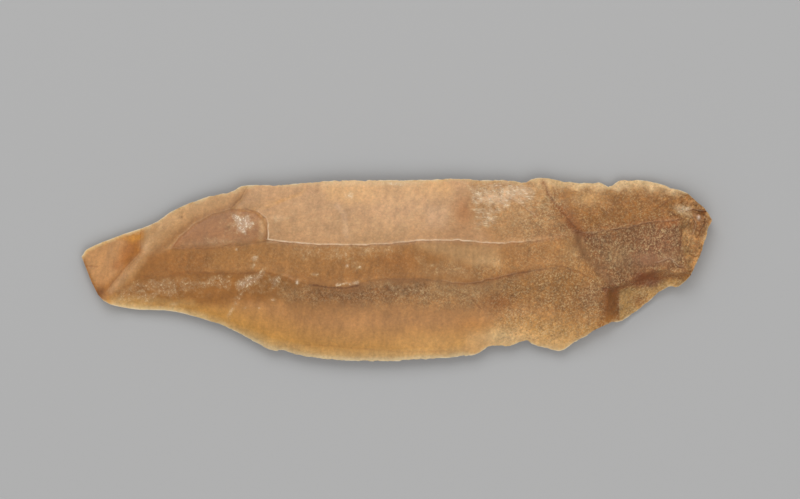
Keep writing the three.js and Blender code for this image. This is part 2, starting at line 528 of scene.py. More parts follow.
@dataclass(frozen=True)
class BladeForm:
    """The blade's surface: the same lines, sizes and scars as its solid, with finer relief."""

    cutting_edge: LongLine = LongLine((
        (103.5, 300.5), (112, 304.5), (134, 308.8), (172, 310.8), (204, 319.2), (230, 328.5),
        (262, 345.8), (273, 350.2), (283, 350), (297, 355), (340, 359.8), (388, 360.8),
        (440, 357.8), (470, 355), (479, 352), (488, 346.6), (507, 346.4), (524, 341.8),
        (540, 346.5), (560, 350.2), (574, 341.6), (610, 323), (622, 320), (641, 306.8),
        (665, 287.8), (677, 286.8), (688, 276.5),
    ))
    back_edge: LongLine = LongLine((
        (81, 256), (86, 248.8), (116, 236), (144, 226.4), (157, 220.5), (172, 210.2), (204, 197),
        (232, 190.2), (242, 185.2), (280, 184.1), (334, 179.8), (410, 179.4), (466, 177.6),
        (476, 179.4), (510, 179.4), (522, 181.6), (533, 177.8), (546, 177.3), (576, 182),
        (600, 182), (608, 185.6), (621, 179.2), (647, 180.4), (676, 188.6), (688, 193.6),
        (703, 206.6),
    ))
    lower_ridge: LongLine = LongLine((
        (97.5, 294, 1.5), (112, 290.5, 2.1), (137, 281, 3.2), (165, 275, 4.1), (200, 271, 4.8),
        (264, 271, 5.6), (300, 281, 5.9), (335, 285.4, 6.1), (385, 277.5, 6.25),
        (422, 277.5, 6.25), (470, 282.4, 6.15), (515, 272.4, 6.05), (558, 264.8, 5.9),
        (580, 275, 5.6), (612, 285, 5.0), (645, 271.5, 4.4), (680, 271, 3.5), (698, 257, 2.9),
    ))
    upper_ridge: LongLine = LongLine((
        (91, 281, 1.5), (107, 284, 2.1), (122, 275.5, 2.8), (147, 257, 3.85), (172, 247.5, 4.6),
        (205, 248, 5.1), (268, 239.8, 5.95), (300, 243.6, 6.2), (365, 244.6, 6.45),
        (415, 240.4, 6.5), (457, 240, 6.45), (490, 243.4, 6.4), (545, 238.4, 6.1),
        (578, 231.6, 5.6), (655, 220.6, 4.7), (680, 218.8, 4.3), (710.5, 219, 3.0),
    ))
    cutting_rim: Outline = (
        (103, 1.4), (125, 0.5), (200, 0.3), (300, 0.25), (470, 0.25), (560, 0.4), (580, 1.2),
        (614, 1.2), (624, 0.5), (655, 0.6), (668, 1.5), (690, 2.2),
    )
    back_rim: Outline = (
        (80, 1.3), (110, 0.55), (140, 0.4), (250, 0.3), (500, 0.35), (530, 0.5), (640, 0.6),
        (680, 1.0), (704, 2.1),
    )
    contact_tip_mm: float = -39.5
    contact_bulb_mm: float = 32.0
    arch_mm: float = 1.0
    lift_mm: float = 0.5
    seat_mm: float = 0.08
    bulb_centre_mm: Point = (32.5, 1.5)
    bulb_reach_mm: Point = (6.0, 5.0)
    bulb_height_mm: float = 0.2
    evened_reach: float = 30.0
    evened_readings: int = 9
    lip_mm: float = 0.2
    lip_reach_mm: float = 0.12
    lip_from: float = 225.0
    lip_to: float = 575.0
    lip_fade: float = 35.0
    hollow_shares: tuple[float, float, float] = (0.01, 0.045, 0.05)
    thinnest_mm: float = 0.2

    tip_facet: Facet = Facet(
        ((60, 236), (144, 214), (145, 251), (111, 294), (99, 312), (60, 312)), ((81, 256, 1.1),
        (141, 231, 1.4), (107, 293, 2.0)), 3.0,
    )
    back_left: Scar = Scar(
        ((145, 224), (147, 250), (170, 247.5), (180, 236.5), (195, 222.5), (212, 213),
        (230, 208.5), (248, 186.5), (252, 172), (196, 172)), 0.06, 2.2,
    )
    lens: Scar = Scar(
        ((171, 247.6), (180, 236), (195, 223), (212, 213.5), (230, 209.2), (246, 208.6),
        (257, 211.4), (264, 217.6), (268, 227), (268, 239.6), (240, 243.6), (205, 248)), 0.11, 0.6,
    )
    shoulder: Scar = Scar(
        ((248, 172), (247, 187.5), (232, 209), (258, 210.4), (280, 202.6), (300, 194), (345, 182),
        (345, 172)), 0.14, 2.4,
    )
    lost_corner: Scar = Scar(
        ((606, 287), (613, 284.4), (630, 279), (645, 270.6), (660, 269), (688, 272.6), (700, 300),
        (640, 340), (606, 340)), 0.42, 1.7,
    )
    platform: Scar = Scar(
        ((665, 202), (677, 219), (681, 247), (686, 270), (700, 290), (725, 270), (725, 190),
        (700, 190)), 0.18, 1.2,
    )
    fold: Groove = Groove(
        ((541, 176), (549, 198), (563, 217), (578, 233), (590, 259), (601, 275), (613, 287)), 0.8,
        0.32,
    )

    bites: tuple[Spot, ...] = (
        Spot((484, 354), (7, 7)), Spot((497, 349), (8, 6)), Spot((515, 349), (10, 7)),
        Spot((527, 346), (7, 7)), Spot((546, 352), (8, 6)), Spot((572, 349), (9, 8)),
        Spot((592, 337), (9, 7)), Spot((634, 317), (9, 9)), Spot((657, 301), (8, 7)),
        Spot((250, 344), (8, 6)), Spot((273, 353), (8, 6)), Spot((292, 356), (7, 5)),
        Spot((318, 361), (10, 5)), Spot((352, 363), (9, 5)), Spot((394, 363), (10, 5)),
        Spot((430, 361), (9, 5)), Spot((458, 359), (8, 5)), Spot((522, 178), (7, 8)),
        Spot((560, 176), (8, 6)), Spot((588, 178), (8, 6)), Spot((608, 182), (7, 8)),
        Spot((640, 177), (9, 6)), Spot((664, 181), (8, 7)), Spot((684, 188), (8, 7)),
        Spot((448, 176), (8, 5)), Spot((481, 176), (8, 5)), Spot((420, 178), (8, 4)),
        Spot((236, 186), (8, 5)), Spot((206, 193), (8, 6)), Spot((170, 208), (8, 7)),
    )
    bite_share: float = 0.4
    rough: tuple[RoughPatch, ...] = (
        RoughPatch(((676, 205), (680, 250), (684, 272), (702, 290), (725, 260), (725, 200),
            (700, 190), (684, 192)), 0.4, 1.7, 3.0, 21),
        RoughPatch(((545, 170), (580, 228), (655, 222), (690, 214), (690, 186), (640, 170)), 0.09,
            1.2, 8.0, 22),
        RoughPatch(((584, 234), (600, 272), (613, 284), (645, 270), (682, 270), (682, 222),
            (640, 226)), 0.08, 0.9, 6.0, 23),
        RoughPatch(((612, 290), (640, 284), (662, 276), (700, 280), (640, 330), (612, 330)), 0.08,
            1.0, 3.0, 24),
        RoughPatch(((480, 285), (520, 276), (560, 270), (600, 285), (610, 330), (560, 360),
            (480, 360)), 0.07, 1.0, 10.0, 25),
        RoughPatch(((120, 290), (200, 276), (300, 286), (480, 286), (480, 310), (300, 320),
            (200, 305), (120, 306)), 0.03, 0.6, 8.0, 26),
    )
    creases: tuple[Groove, ...] = (
        Groove(((247, 187), (238, 200), (230, 209)), 0.3, 0.08),
        Groove(((172, 247), (180, 236), (195, 223), (212, 213.5), (230, 209)), 0.18, 0.04),
        Groove(((498, 192), (516, 201), (531, 213), (536, 226)), 0.35, 0.05),
        Groove(((655, 208), (661, 203), (670, 198), (682, 196)), 0.2, 0.12),
        Groove(((687, 211), (696, 210), (703, 212)), 0.25, 0.25),
        Groove(((286, 345), (315, 344), (345, 346), (400, 351), (455, 349.5)), 0.35, 0.05),
        Groove(((586, 232.5), (598, 232.5), (626, 229), (656, 222.5), (680, 220.6)), 0.22, 0.12),
    )
    full_relief_mm: float = 1.0
    strike_mm: Point = (44.0, 1.0)
    ripple_mm: float = 0.02
    ripple_length_mm: float = 5.2
    ripple_drift_mm: float = 1.2
    ripple_drift_size: float = 60.0

    nibble: float = 1.6
    nibble_reach: float = 0.09
    chip_length: float = 6.5
    chip_size: Taper = Taper(0.7, 1.1, 455.0, 500.0)
    nick_length: float = 2.4
    nick_size: float = 0.6
    nick_row: float = 9.0
    use_wear: Taper = Taper(0.2, 1.0, 150.0, 250.0)
    cutting_row: float = 3.7
    back_row: float = 33.7
    butt_wear: Taper = Taper(0.0, 1.6, 0.99, 1.0)
    butt_chip_length: float = 7.0
    butt_row: float = 5.3
    butt_rim_mm: float = 0.15

    @property
    def scars(self) -> tuple[Scar, ...]:
        """Every later scar."""
        return (self.back_left, self.lens, self.shoulder, self.lost_corner, self.platform)

    def underside(self, x: Array, y: Array, across: Array) -> Array:
        """Height of the bowed underside.

        Args:
            x: Millimetres along the blade.
            y: Millimetres across the blade.
            across: -1 at the cutting edge to 1 at the back.

        Returns:
            Height above the ground in millimetres.
        """
        between = (x - self.contact_tip_mm) / (self.contact_bulb_mm - self.contact_tip_mm)
        arch = np.abs(self.arch_mm * hump(between))
        lift = self.lift_mm * across * across
        along_bulb = (x - self.bulb_centre_mm[0]) / self.bulb_reach_mm[0]
        across_bulb = (y - self.bulb_centre_mm[1]) / self.bulb_reach_mm[1]
        bulb = self.bulb_height_mm * bell(np.hypot(along_bulb, across_bulb), 1.0)
        return np.maximum(0.0, arch + lift - bulb - self.seat_mm)

    def evened(self, line: LongLine, x: Array) -> Array:
        """A long edge's y with its bites evened out.

        Args:
            line: The edge.
            x: View x of each reading.

        Returns:
            View y at each reading.
        """
        reach = np.minimum(x - line.points[0][0], line.points[-1][0] - x)
        reach = np.clip(reach, 0.0, self.evened_reach)
        shares = np.linspace(-1.0, 1.0, self.evened_readings)
        return np.mean([line.at(x + share * reach)[0] for share in shares], axis=0)

    def lip_drop(self, ridge_x: Array, away_mm: Array) -> Array:
        """Steps the ground just below the upper ridge down from it.

        Args:
            ridge_x: View x of the ridge beside each place.
            away_mm: How far each place lies from the ridge.

        Returns:
            How far each place is lowered, in millimetres.
        """
        starts = ease(ridge_x, self.lip_from, self.lip_from + self.lip_fade)
        ends = ease(ridge_x, self.lip_to - self.lip_fade, self.lip_to)
        return self.lip_mm * starts * (1.0 - ends) * (1.0 - np.exp(-away_mm / self.lip_reach_mm))

    def ripples(self, x: Array, y: Array) -> Array:
        """The faint waves that the blow left, in rings round where it struck.

        Args:
            x: View x of each place.
            y: View y of each place.

        Returns:
            0 in a trough to 1 on a crest.
        """
        away = np.hypot(VIEW.x_mm(x) - self.strike_mm[0], VIEW.y_mm(y) - self.strike_mm[1])
        size = self.ripple_drift_size
        drift = self.ripple_drift_mm * BORDER_NOISE.layered(x / size, y / size, 2)
        return 0.5 + 0.5 * np.sin(2.0 * math.pi * (away + drift) / self.ripple_length_mm)

    def fine_relief(self, x: Array, y: Array) -> Array:
        """Adds up the ripples, the creases and the broken zones of the top.

        Args:
            x: View x of each place.
            y: View y of each place.

        Returns:
            The height that they add, in millimetres.
        """
        total = -self.ripple_mm * self.ripples(x, y)
        for crease in self.creases:
            total = total - crease.drop(x, y)
        for patch in self.rough:
            total = total + patch.relief(x, y)
        return total

    def nibbling(self, x: Array, from_edge: Array, row: float) -> Array:
        """How far use has worn a long edge back, in view units.

        Args:
            x: View x.
            from_edge: 0 on the edge to 1 at its ridge.
            row: Picks the edge's own run of chips.

        Returns:
            The wear, which fades away from the edge and is slight towards the tip.
        """
        chips = np.maximum(BORDER_NOISE.at(x / self.chip_length, np.full_like(x, row)), 0.0)
        nicks = BORDER_NOISE.at(x / self.nick_length, np.full_like(x, row + self.nick_row))
        worn = self.chip_size.at(x) * chips + self.nick_size * np.abs(nicks)
        return self.nibble * worn * self.use_wear.at(x) * bell(from_edge, self.nibble_reach)

    def lines_at(self, station: Array) -> Array:
        """Reads the two long edges and the two ridges, from the cutting edge to the back.

        Args:
            station: 0 at the tip to 1 at the butt.

        Returns:
            View x, view y and height on each line, with a height of 0 on the edges.
        """
        rows = []
        for line in (self.cutting_edge, self.lower_ridge, self.upper_ridge, self.back_edge):
            x = line.x_at(station)
            read = line.at(x)
            rows.append((x, read[0], read[1] if len(read) > 1 else np.zeros_like(x)))
        return np.array(rows)

    def worn_places(self, grid: GridPlaces) -> tuple[Array, Array]:
        """Finds the grid's places in the view, with the edges and the butt worn back.

        Args:
            grid: The places.

        Returns:
            View x and view y.
        """
        low, high, within = grid.low, grid.high, grid.within
        x = blend_between(low[0], high[0], within)
        y = blend_between(low[1], high[1], within)
        cutting, back = grid.band == Band.CUTTING, grid.band == Band.BACK
        y = y - np.where(cutting, self.nibbling(x, within, self.cutting_row), 0.0)
        y = y + np.where(back, self.nibbling(x, 1.0 - within, self.back_row), 0.0)
        row = np.full_like(y, self.butt_row)
        battered = np.abs(BORDER_NOISE.layered(y / self.butt_chip_length, row, 2))
        return x - self.butt_wear.at(grid.station) * battered, y

    def ground(self, x: Array, y: Array, lines: Array) -> Array:
        """Height of the underside at places of the view.

        Args:
            x: View x.
            y: View y.
            lines: The long lines beside each place.

        Returns:
            Height above the ground in millimetres.
        """
        foot, head = VIEW.y_mm(lines[0, 1]), VIEW.y_mm(lines[-1, 1])
        across = 2.0 * (VIEW.y_mm(y) - foot) / (head - foot) - 1.0
        return self.underside(VIEW.x_mm(x), VIEW.y_mm(y), across)

    def rim_top(self, line: Array, lines: Array, rim: Outline) -> Array:
        """Top of a long edge in millimetres, as thick as its rim of view x and thickness."""
        places, thickness = zip(*rim)
        return self.ground(line[0], line[1], lines) + np.interp(line[0], places, thickness)

    def plain_top(self, grid: GridPlaces, x: Array, y: Array) -> Array:
        """Top of the blade before its later scars, hollow between the long lines.

        Args:
            grid: The places.
            x: View x of each place.
            y: View y of each place.

        Returns:
            Height above the ground in millimetres.
        """
        low, high, band = grid.low, grid.high, grid.band
        cutting, back = band == Band.CUTTING, band == Band.BACK
        low_top = np.where(cutting, self.rim_top(low, grid.lines, self.cutting_rim), low[2])
        high_top = np.where(back, self.rim_top(high, grid.lines, self.back_rim), high[2])
        start = np.where(cutting, self.evened(self.cutting_edge, low[0]), low[1])
        end = np.where(back, self.evened(self.back_edge, high[0]), high[1])
        share = np.clip((y - start) / (end - start), 0.0, 1.0)
        dish = np.array(self.hollow_shares)[band] * (start - end) * VIEW.unit
        top = blend_between(low_top, high_top, share) - dish * hump(share)
        away = np.hypot(high[0] - x, high[1] - y) * VIEW.unit
        lip = self.lip_drop(high[0], away) * grid.within
        return top - np.where(band == Band.MIDDLE, lip, 0.0)

    def share_left(self, x: Array, y: Array) -> Array:
        """The share of its thickness that the later scars and bites leave the blade.

        Args:
            x: View x of each place.
            y: View y of each place.

        Returns:
            The share left at each place.
        """
        left = np.ones_like(x)
        for scar in self.scars:
            left = left * scar.thickness_left(x, y)
        for bite in self.bites:
            left = left * (1.0 - self.bite_share * bite.cover(x, y))
        return left

    def surface(self, station: Array, band: NDArray[np.int64], within: Array) -> dict[str, Array]:
        """Plan place and both heights of the blade.

        Args:
            station: 0 at the tip to 1 at the butt.
            band: The band that each place lies in.
            within: 0 to 1 across the band, towards the back.

        Returns:
            View x and y, and in millimetres the heights of the underside and of the top and
            the gap to the nearest edge.
        """
        grid = GridPlaces(station, band, within, self.lines_at(station))
        x, y = self.worn_places(grid)
        below = self.ground(x, y, grid.lines)
        inward = np.clip(hump(within) + (band == Band.MIDDLE), 0.0, 1.0)
        top = self.plain_top(grid, x, y) - self.fold.drop(x, y) * inward
        top = self.tip_facet.cut(x, y, top)
        top = below + np.maximum(top - below, self.thinnest_mm) * self.share_left(x, y)
        relief_share = np.clip((top - below) / self.full_relief_mm, 0.0, 1.0)
        below = below + 2.0 * self.ripple_mm * self.ripples(x, y) * (below > 0.0)
        top = np.maximum(top + self.fine_relief(x, y) * relief_share,
                         below + self.thinnest_mm / 2.0)
        to_side = np.minimum(grid.lines[0, 1] - y, y - grid.lines[-1, 1]) * VIEW.unit
        to_butt = self.butt_rim_mm + (1.0 - station) * VIEW.blade_mm
        return {"x": x, "y": y, "below": below, "top": top,
                "to_edge": np.minimum(to_side, to_butt)}


class FrostKind(Enum):
    """How pale frost lies on the flint."""

    GRAINY = "frost_grainy"
    SLANTED = "frost_slanted"
    LEVEL = "frost_level"


@dataclass(frozen=True)
class Frost:
    """Where one kind of frost lies."""

    kind: FrostKind
    marks: tuple[Mark, ...]


@dataclass(frozen=True)
class StoneMarksAndPaintedLight:
    """Where the flint's tones, frost, grain, crust and cracks lie, with its painted shade and
    highlights, read in the plan view.

    A tone covers those before it.
    """

    # the body's own brown where thick, lighter and yellower where thin as a painted glow of light
    # through the flint
    by_thickness: tuple[tuple[float, DisplayTone], ...] = (
        (0.15, (190, 166, 130)), (0.5, (186, 149, 98)), (1.0, (184, 135, 74)),
        (2.6, (178, 129, 82)), (3.8, (162, 117, 74)), (4.8, (148, 106, 67)), (6.4, (158, 113, 72)),
    )
    middle_scar_tones: tuple[Tone, ...] = (
        Tone((160, 114, 70), Area(((118, 289), (133, 276), (148, 257), (172, 249), (205, 249),
            (268, 242), (325, 246), (400, 243), (456, 241), (540, 240), (575, 234), (596, 276),
            (556, 265), (515, 272), (470, 282), (422, 277), (385, 277), (340, 285), (300, 281),
            (265, 271), (175, 273)))),
        Tone((157, 104, 60), Spot((397, 261), (24, 13), 0.7)),
        Tone((150, 104, 64), Spot((345, 262), (26, 10), 0.5)),
        Tone((148, 100, 60), Area(((150, 254), (175, 250), (215, 250), (205, 272), (140, 284),
            (134, 276)), 0.7, 7.0, 3.0)),
        Tone((180, 141, 98), Area(((413, 243), (440, 241), (474, 244), (499, 245), (498, 267),
            (486, 267), (465, 263), (440, 255), (420, 247)), 0.85, 6.0, 3.0)),
        Tone((160, 115, 74), Spot((530, 254), (30, 14), 0.7)),
        Tone((178, 138, 94), Spot((572, 252), (13, 9), 0.6)),
        Tone((148, 98, 56), Streak(((172, 273), (232, 274), (264, 272), (296, 281)), 0.6, 2.6,
            1.0)),
        Tone((152, 112, 76), Spot((452, 270), (26, 7), 0.6)),
        Tone((190, 152, 108), Spot((484, 260), (13, 5), 0.6)),
    )
    # the upper back facet, partly its own tone and partly a painted sheen of the soft box, lighter
    # and pinker
    back_scar_tones_and_sheen: tuple[Tone, ...] = (
        Tone((188, 146, 106), Area(((268, 242), (267, 222), (257, 211), (283, 200), (300, 192),
            (330, 170), (540, 170), (553, 200), (566, 218), (577, 233), (540, 240), (490, 244),
            (456, 241), (415, 242), (385, 245), (325, 246)), 1.0, 2.0, 1.0)),
        Tone((211, 164, 112), Area(((310, 170), (440, 170), (450, 190), (400, 204), (330, 199)),
            0.7, 8.0, 5.0)),
        Tone((204, 161, 122), Spot((400, 205), (34, 22), 0.6)),
        Tone((184, 142, 102), Spot((287, 224), (22, 20), 0.7)),
        Tone((176, 138, 98), Spot((372, 238), (30, 8), 0.5)),
        Tone((218, 178, 142), Streak(((337, 206), (345, 215), (346, 236)), 0.35, 2.5, 2.0)),
        Tone((222, 182, 144), Streak(((258, 209), (266, 205), (274, 203)), 0.7, 1.8, 1.0)),
        Tone((212, 172, 134), Spot((278, 217), (7, 2.5), 0.5)),
        Tone((214, 160, 100), Streak(((262, 206), (280, 199), (300, 192)), 0.4, 3.0, 1.0)),
        Tone((222, 180, 144), Area(((425, 206), (448, 206), (446, 228), (420, 230)), 0.35, 6.0,
            4.0)),
        Tone((168, 118, 78), Spot((463, 211), (11, 16), 0.85)),
        Tone((180, 134, 94), Spot((455, 230), (28, 9), 0.5)),
        Tone((166, 120, 76), Area(((470, 170), (540, 170), (560, 215), (575, 232), (520, 240),
            (490, 243), (470, 215)), 0.8, 8.0, 4.0)),
        Tone((156, 111, 73), Area(((534, 205), (556, 200), (570, 218), (578, 234), (540, 240),
            (524, 234)), 0.45, 9.0, 4.0)),
        Tone((220, 182, 146), Streak(((480, 199), (502, 197), (522, 191)), 0.4, 5.0, 4.0)),
        Tone((148, 104, 66), Spot((558, 231), (16, 8), 0.6)),
        Tone((206, 172, 132), Streak(((262, 186), (300, 183), (350, 182), (420, 182)), 0.55, 3.5,
            2.0)),
    )
    tip_tones: tuple[Tone, ...] = (
        Tone((188, 146, 106), Area(((248, 170), (247, 188), (233, 209), (257, 210), (283, 200),
            (300, 192), (330, 178), (330, 170)), 0.9, 2.5)),
        Tone((183, 141, 98), Area(((141, 205), (143, 252), (110, 293), (121, 289), (134, 275),
            (148, 256), (172, 247), (195, 222), (230, 209), (247, 187), (250, 170), (200, 180)),
            0.85, 3.0)),
        # painted shadow: a dark band along the lens's upper-left border
        Tone((148, 102, 64), Streak(((245, 190), (229, 208), (196, 219), (175, 236), (152, 256)),
            0.6, 4.5, 1.0)),
        Tone((202, 160, 112), Streak(((146, 228), (158, 221), (173, 211), (205, 198), (240, 187)),
            0.6, 4.0, 2.0)),
        Tone((163, 116, 80), Area(((172, 247.5), (180, 237), (195, 224), (212, 215), (230, 210),
            (246, 210), (256, 212), (263, 219), (266, 228), (266, 239), (240, 243), (205, 248)),
            0.95, 1.5, 0.6)),
        Tone((184, 136, 91), Area(((70, 240), (141, 215), (142, 251), (113, 290), (100, 305),
            (70, 300)), 0.9, 2.0, 0.5)),
        Tone((160, 102, 54), Area(((126, 238), (141, 233), (141, 253), (128, 268), (116, 262)),
            0.9, 7.0, 2.0)),
        Tone((192, 132, 60), Area(((118, 238), (141, 227), (142, 238), (132, 242)), 0.9, 3.5,
            1.0)),
        Tone((182, 118, 56), Spot((139, 251), (4, 4), 0.6)),
        Tone((218, 178, 118), Streak(((83, 254), (87, 248.5), (116, 236), (141, 227)), 0.8, 2.2)),
        Tone((150, 98, 52), Area(((140, 253), (108, 293), (103, 288), (124, 264)), 0.6, 4.0, 1.0)),
        Tone((160, 108, 62), Spot((106, 288), (12, 11), 0.6)),
        Tone((152, 98, 58), Spot((116.5, 266), (5, 4), 0.75)),
        Tone((138, 92, 50), Streak(((82, 257), (92, 281), (98, 293), (105, 301)), 0.6, 1.6)),
        Tone((104, 64, 36), Spot((100, 291), (5, 5), 0.7)),
        Tone((208, 174, 122), Streak(((112, 303), (134, 306), (172, 309), (204, 317)), 0.6, 3.5,
            2.0)),
        Tone((222, 196, 154), Streak(((112, 304.5), (134, 308), (172, 310.5)), 0.6, 1.4, 1.0)),
        Tone((224, 188, 142), Spot((173.5, 303.5), (3.5, 1.6), 0.8)),
        Tone((186, 145, 102), Streak(((261, 222), (263, 230), (261, 238)), 0.85, 3.0)),
        Tone((172, 132, 96), Streak(((184, 244), (215, 243), (250, 240)), 0.5, 3.5, 1.0)),
        Tone((110, 74, 46), Spot((181.3, 216.5), (1.4, 1.2), 0.8)),
        Tone((104, 80, 50), Spot((229, 226.6), (1.3, 1.3), 0.8)),
        # painted highlight: the lit strip beside the tip facet's ridge
        Tone((188, 146, 106), Streak(((144, 252), (127.5, 270.5), (111, 290)), 0.8, 3.4, 1.0)),
        Tone((166, 120, 76), Streak(((146, 257), (134, 274), (119, 291)), 0.5, 3.5, 1.0)),
        Tone((198, 160, 122), Spot((145, 246), (4, 5), 0.7)),
        Tone((196, 156, 114), Streak(((150, 240), (162, 228), (176, 216)), 0.5, 5.0, 3.0)),
    )
    belt_tones: tuple[Tone, ...] = (
        Tone((144, 95, 51), Area(((115, 293), (140, 282), (200, 273), (264, 273), (300, 284),
            (290, 298), (220, 303), (150, 300)), 0.75, 6.0, 4.0)),
        Tone((182, 142, 90), Streak(((118, 300), (150, 301), (190, 303)), 0.5, 4.0, 3.0)),
    )
    butt_and_edge_tones: tuple[Tone, ...] = (
        Tone((145, 98, 57), Area(((543, 170), (553, 196), (566, 216), (580, 230), (655, 221),
            (690, 218), (700, 200), (660, 170)), 0.9, 3.0)),
        Tone((212, 178, 134), Streak(((540, 180), (600, 184), (640, 182), (674, 188)), 0.95, 6.5,
            4.0)),
        Tone((194, 151, 102), Spot((586, 198), (17, 8), 0.75)),
        # painted shade along the upper side of the butt's ridge
        Tone((134, 88, 56), Streak(((598, 229), (640, 221), (668, 217)), 0.5, 3.0, 1.5)),
        # painted shade in the crease at the top of the fold
        Tone((172, 128, 84), Spot((541, 196), (5, 5), 0.5)),
        Tone((176, 124, 72), Spot((633, 189), (7, 6), 0.5)),
        # the butt's big scar: partly its own dark brown, partly painted shade of its slope turned
        # from the light
        Tone((122, 84, 57), Area(((580, 233), (655, 223), (680, 221), (681, 247), (684, 272),
            (660, 268), (645, 270), (630, 279), (613, 284), (596, 268)), 0.95, 4.5, 4.0)),
        Tone((134, 90, 66), Spot((656, 244), (22, 17), 0.7)),
        Tone((142, 104, 80), Spot((644, 258), (20, 8), 0.7)),
        Tone((158, 122, 86), Spot((614, 256), (14, 10), 0.7)),
        Tone((112, 78, 58), Spot((594, 238), (12, 4), 0.6)),
        Tone((150, 92, 56), Spot((668, 223), (14, 5), 0.6)),
        Tone((164, 118, 75), Area(((677, 205), (681, 247), (686, 270), (700, 290), (725, 260),
            (725, 200), (700, 190)), 0.9, 2.0)),
        Tone((150, 105, 61), Area(((480, 284), (520, 276), (556, 268), (596, 280), (612, 288),
            (606, 318), (570, 320), (530, 306), (490, 308)), 0.8, 9.0, 5.0)),
        Tone((166, 122, 74), Area(((500, 314), (545, 314), (590, 322), (572, 336), (540, 330)),
            0.55, 7.0, 4.0)),
        Tone((194, 149, 96), Area(((468, 330), (520, 322), (540, 338), (520, 350), (480, 356),
            (462, 350)), 0.95, 6.0, 3.0)),
        Tone((208, 172, 124), Spot((506, 340), (26, 8), 0.75)),
        Tone((214, 176, 124), Spot((498, 336), (10, 8), 0.9)),
        Tone((198, 150, 92), Spot((432, 343), (34, 9), 0.65)),
        Tone((206, 184, 148), Streak(((296, 355), (340, 359), (388, 360), (440, 357)), 0.45, 2.2,
            1.0)),
        Tone((146, 99, 58), Streak(((296, 274), (330, 277), (360, 273), (400, 271)), 0.55, 5.0,
            2.0)),
        Tone((186, 138, 96), Streak(((284, 273.8), (289, 275.5), (293, 278.5)), 0.7, 1.1, 0.6)),
        Tone((132, 84, 46), Streak(((458, 283), (478, 281.4), (494, 277), (510, 273.6),
            (526, 271)), 0.55, 2.6, 1.5)),
        Tone((119, 77, 40), Streak(((300, 292), (350, 295), (400, 289), (422, 288)), 0.7, 8.0,
            4.0)),
        Tone((160, 123, 83), Streak(((436, 287), (470, 291), (500, 288)), 0.5, 7.0, 3.0)),
        Tone((132, 92, 60), Spot((580, 300), (16, 10), 0.4)),
        Tone((152, 112, 74), Spot((292, 292), (15, 7), 0.8)),
        Tone((190, 147, 96), Spot((560, 338), (26, 10), 0.75)),
        Tone((144, 88, 48), Spot((496, 301), (15, 9), 0.6)),
        Tone((184, 126, 66), Spot((470, 324), (16, 9), 0.45)),
        # painted shade: the dark slope where the blade drops to the lost corner, and beside it
        Tone((134, 96, 68), Spot((590, 294), (13, 13), 0.6)),
        Tone((128, 82, 48), Area(((600, 288), (622, 286), (622, 324), (598, 327)), 0.95, 5.0,
            1.0)),
        Tone((160, 110, 60), Spot((608, 321), (10, 7), 0.8)),
        Tone((166, 128, 80), Area(((618, 288), (640, 285), (662, 278), (700, 282), (640, 330),
            (618, 330)), 0.95, 1.5, 0.6)),
        Tone((150, 98, 55), Spot((640, 300), (9, 7), 0.7)),
        Tone((166, 128, 86), Streak(((682, 221), (684, 234), (684, 248), (690, 263)), 0.5, 3.5,
            2.0)),
        Tone((178, 146, 110), Area(((668, 207), (676, 203), (689, 207), (690, 217), (676, 214)),
            0.6, 3.0, 3.0)),
        Tone((190, 138, 84), Streak(((709, 214), (709, 224), (700, 250), (688, 274)), 0.7, 3.0,
            2.0)),
        Tone((134, 88, 56), Area(((692, 208), (704, 208), (706, 222), (698, 234), (690, 224)), 0.7,
            3.0, 3.0)),
        # painted glint on the butt's crust
        Tone((236, 216, 196), Spot((697, 217), (1.5, 1.8), 0.9)),
    )
    # darker along the fold and the steps below it, partly stain and partly painted shade of the
    # trough and of the steps turned from the light, with cream at its top edge
    fold_stain_and_shade_tones: tuple[Tone, ...] = (
        Tone((142, 94, 58), Streak(((542, 182), (546, 190), (554, 203), (566, 217)), 0.7, 3.2,
            0.8)),
        Tone((138, 88, 52), Streak(((556, 206), (567, 219), (578, 231)), 0.85, 5.5, 1.5)),
        Tone((204, 164, 114), Streak(((520, 181), (536, 180)), 0.6, 3.0, 2.0)),
        Tone((204, 164, 114), Streak(((550, 181), (564, 183)), 0.6, 3.0, 2.0)),
        Tone((116, 70, 40), Streak(((566, 224), (577, 234), (588, 236)), 0.6, 3.0, 2.0)),
        Tone((132, 95, 67), Streak(((575, 238), (581, 252), (591, 264), (602, 276), (611, 285)),
            0.85, 5.5, 2.5)),
        Tone((118, 72, 48), Streak(((604, 288), (616, 287), (630, 283), (640, 278)), 0.85, 3.5,
            1.5)),
        Tone((115, 68, 45), Area(((624, 284), (634, 273), (652, 269), (667, 275), (655, 285),
            (636, 288)), 0.9, 4.0, 2.0)),
        Tone((128, 82, 50), Streak(((658, 275), (677, 276), (690, 272)), 0.85, 3.6, 1.5)),
        Tone((134, 90, 52), Streak(((574, 343), (590, 334), (606, 325), (617, 321)), 0.6, 2.5)),
    )
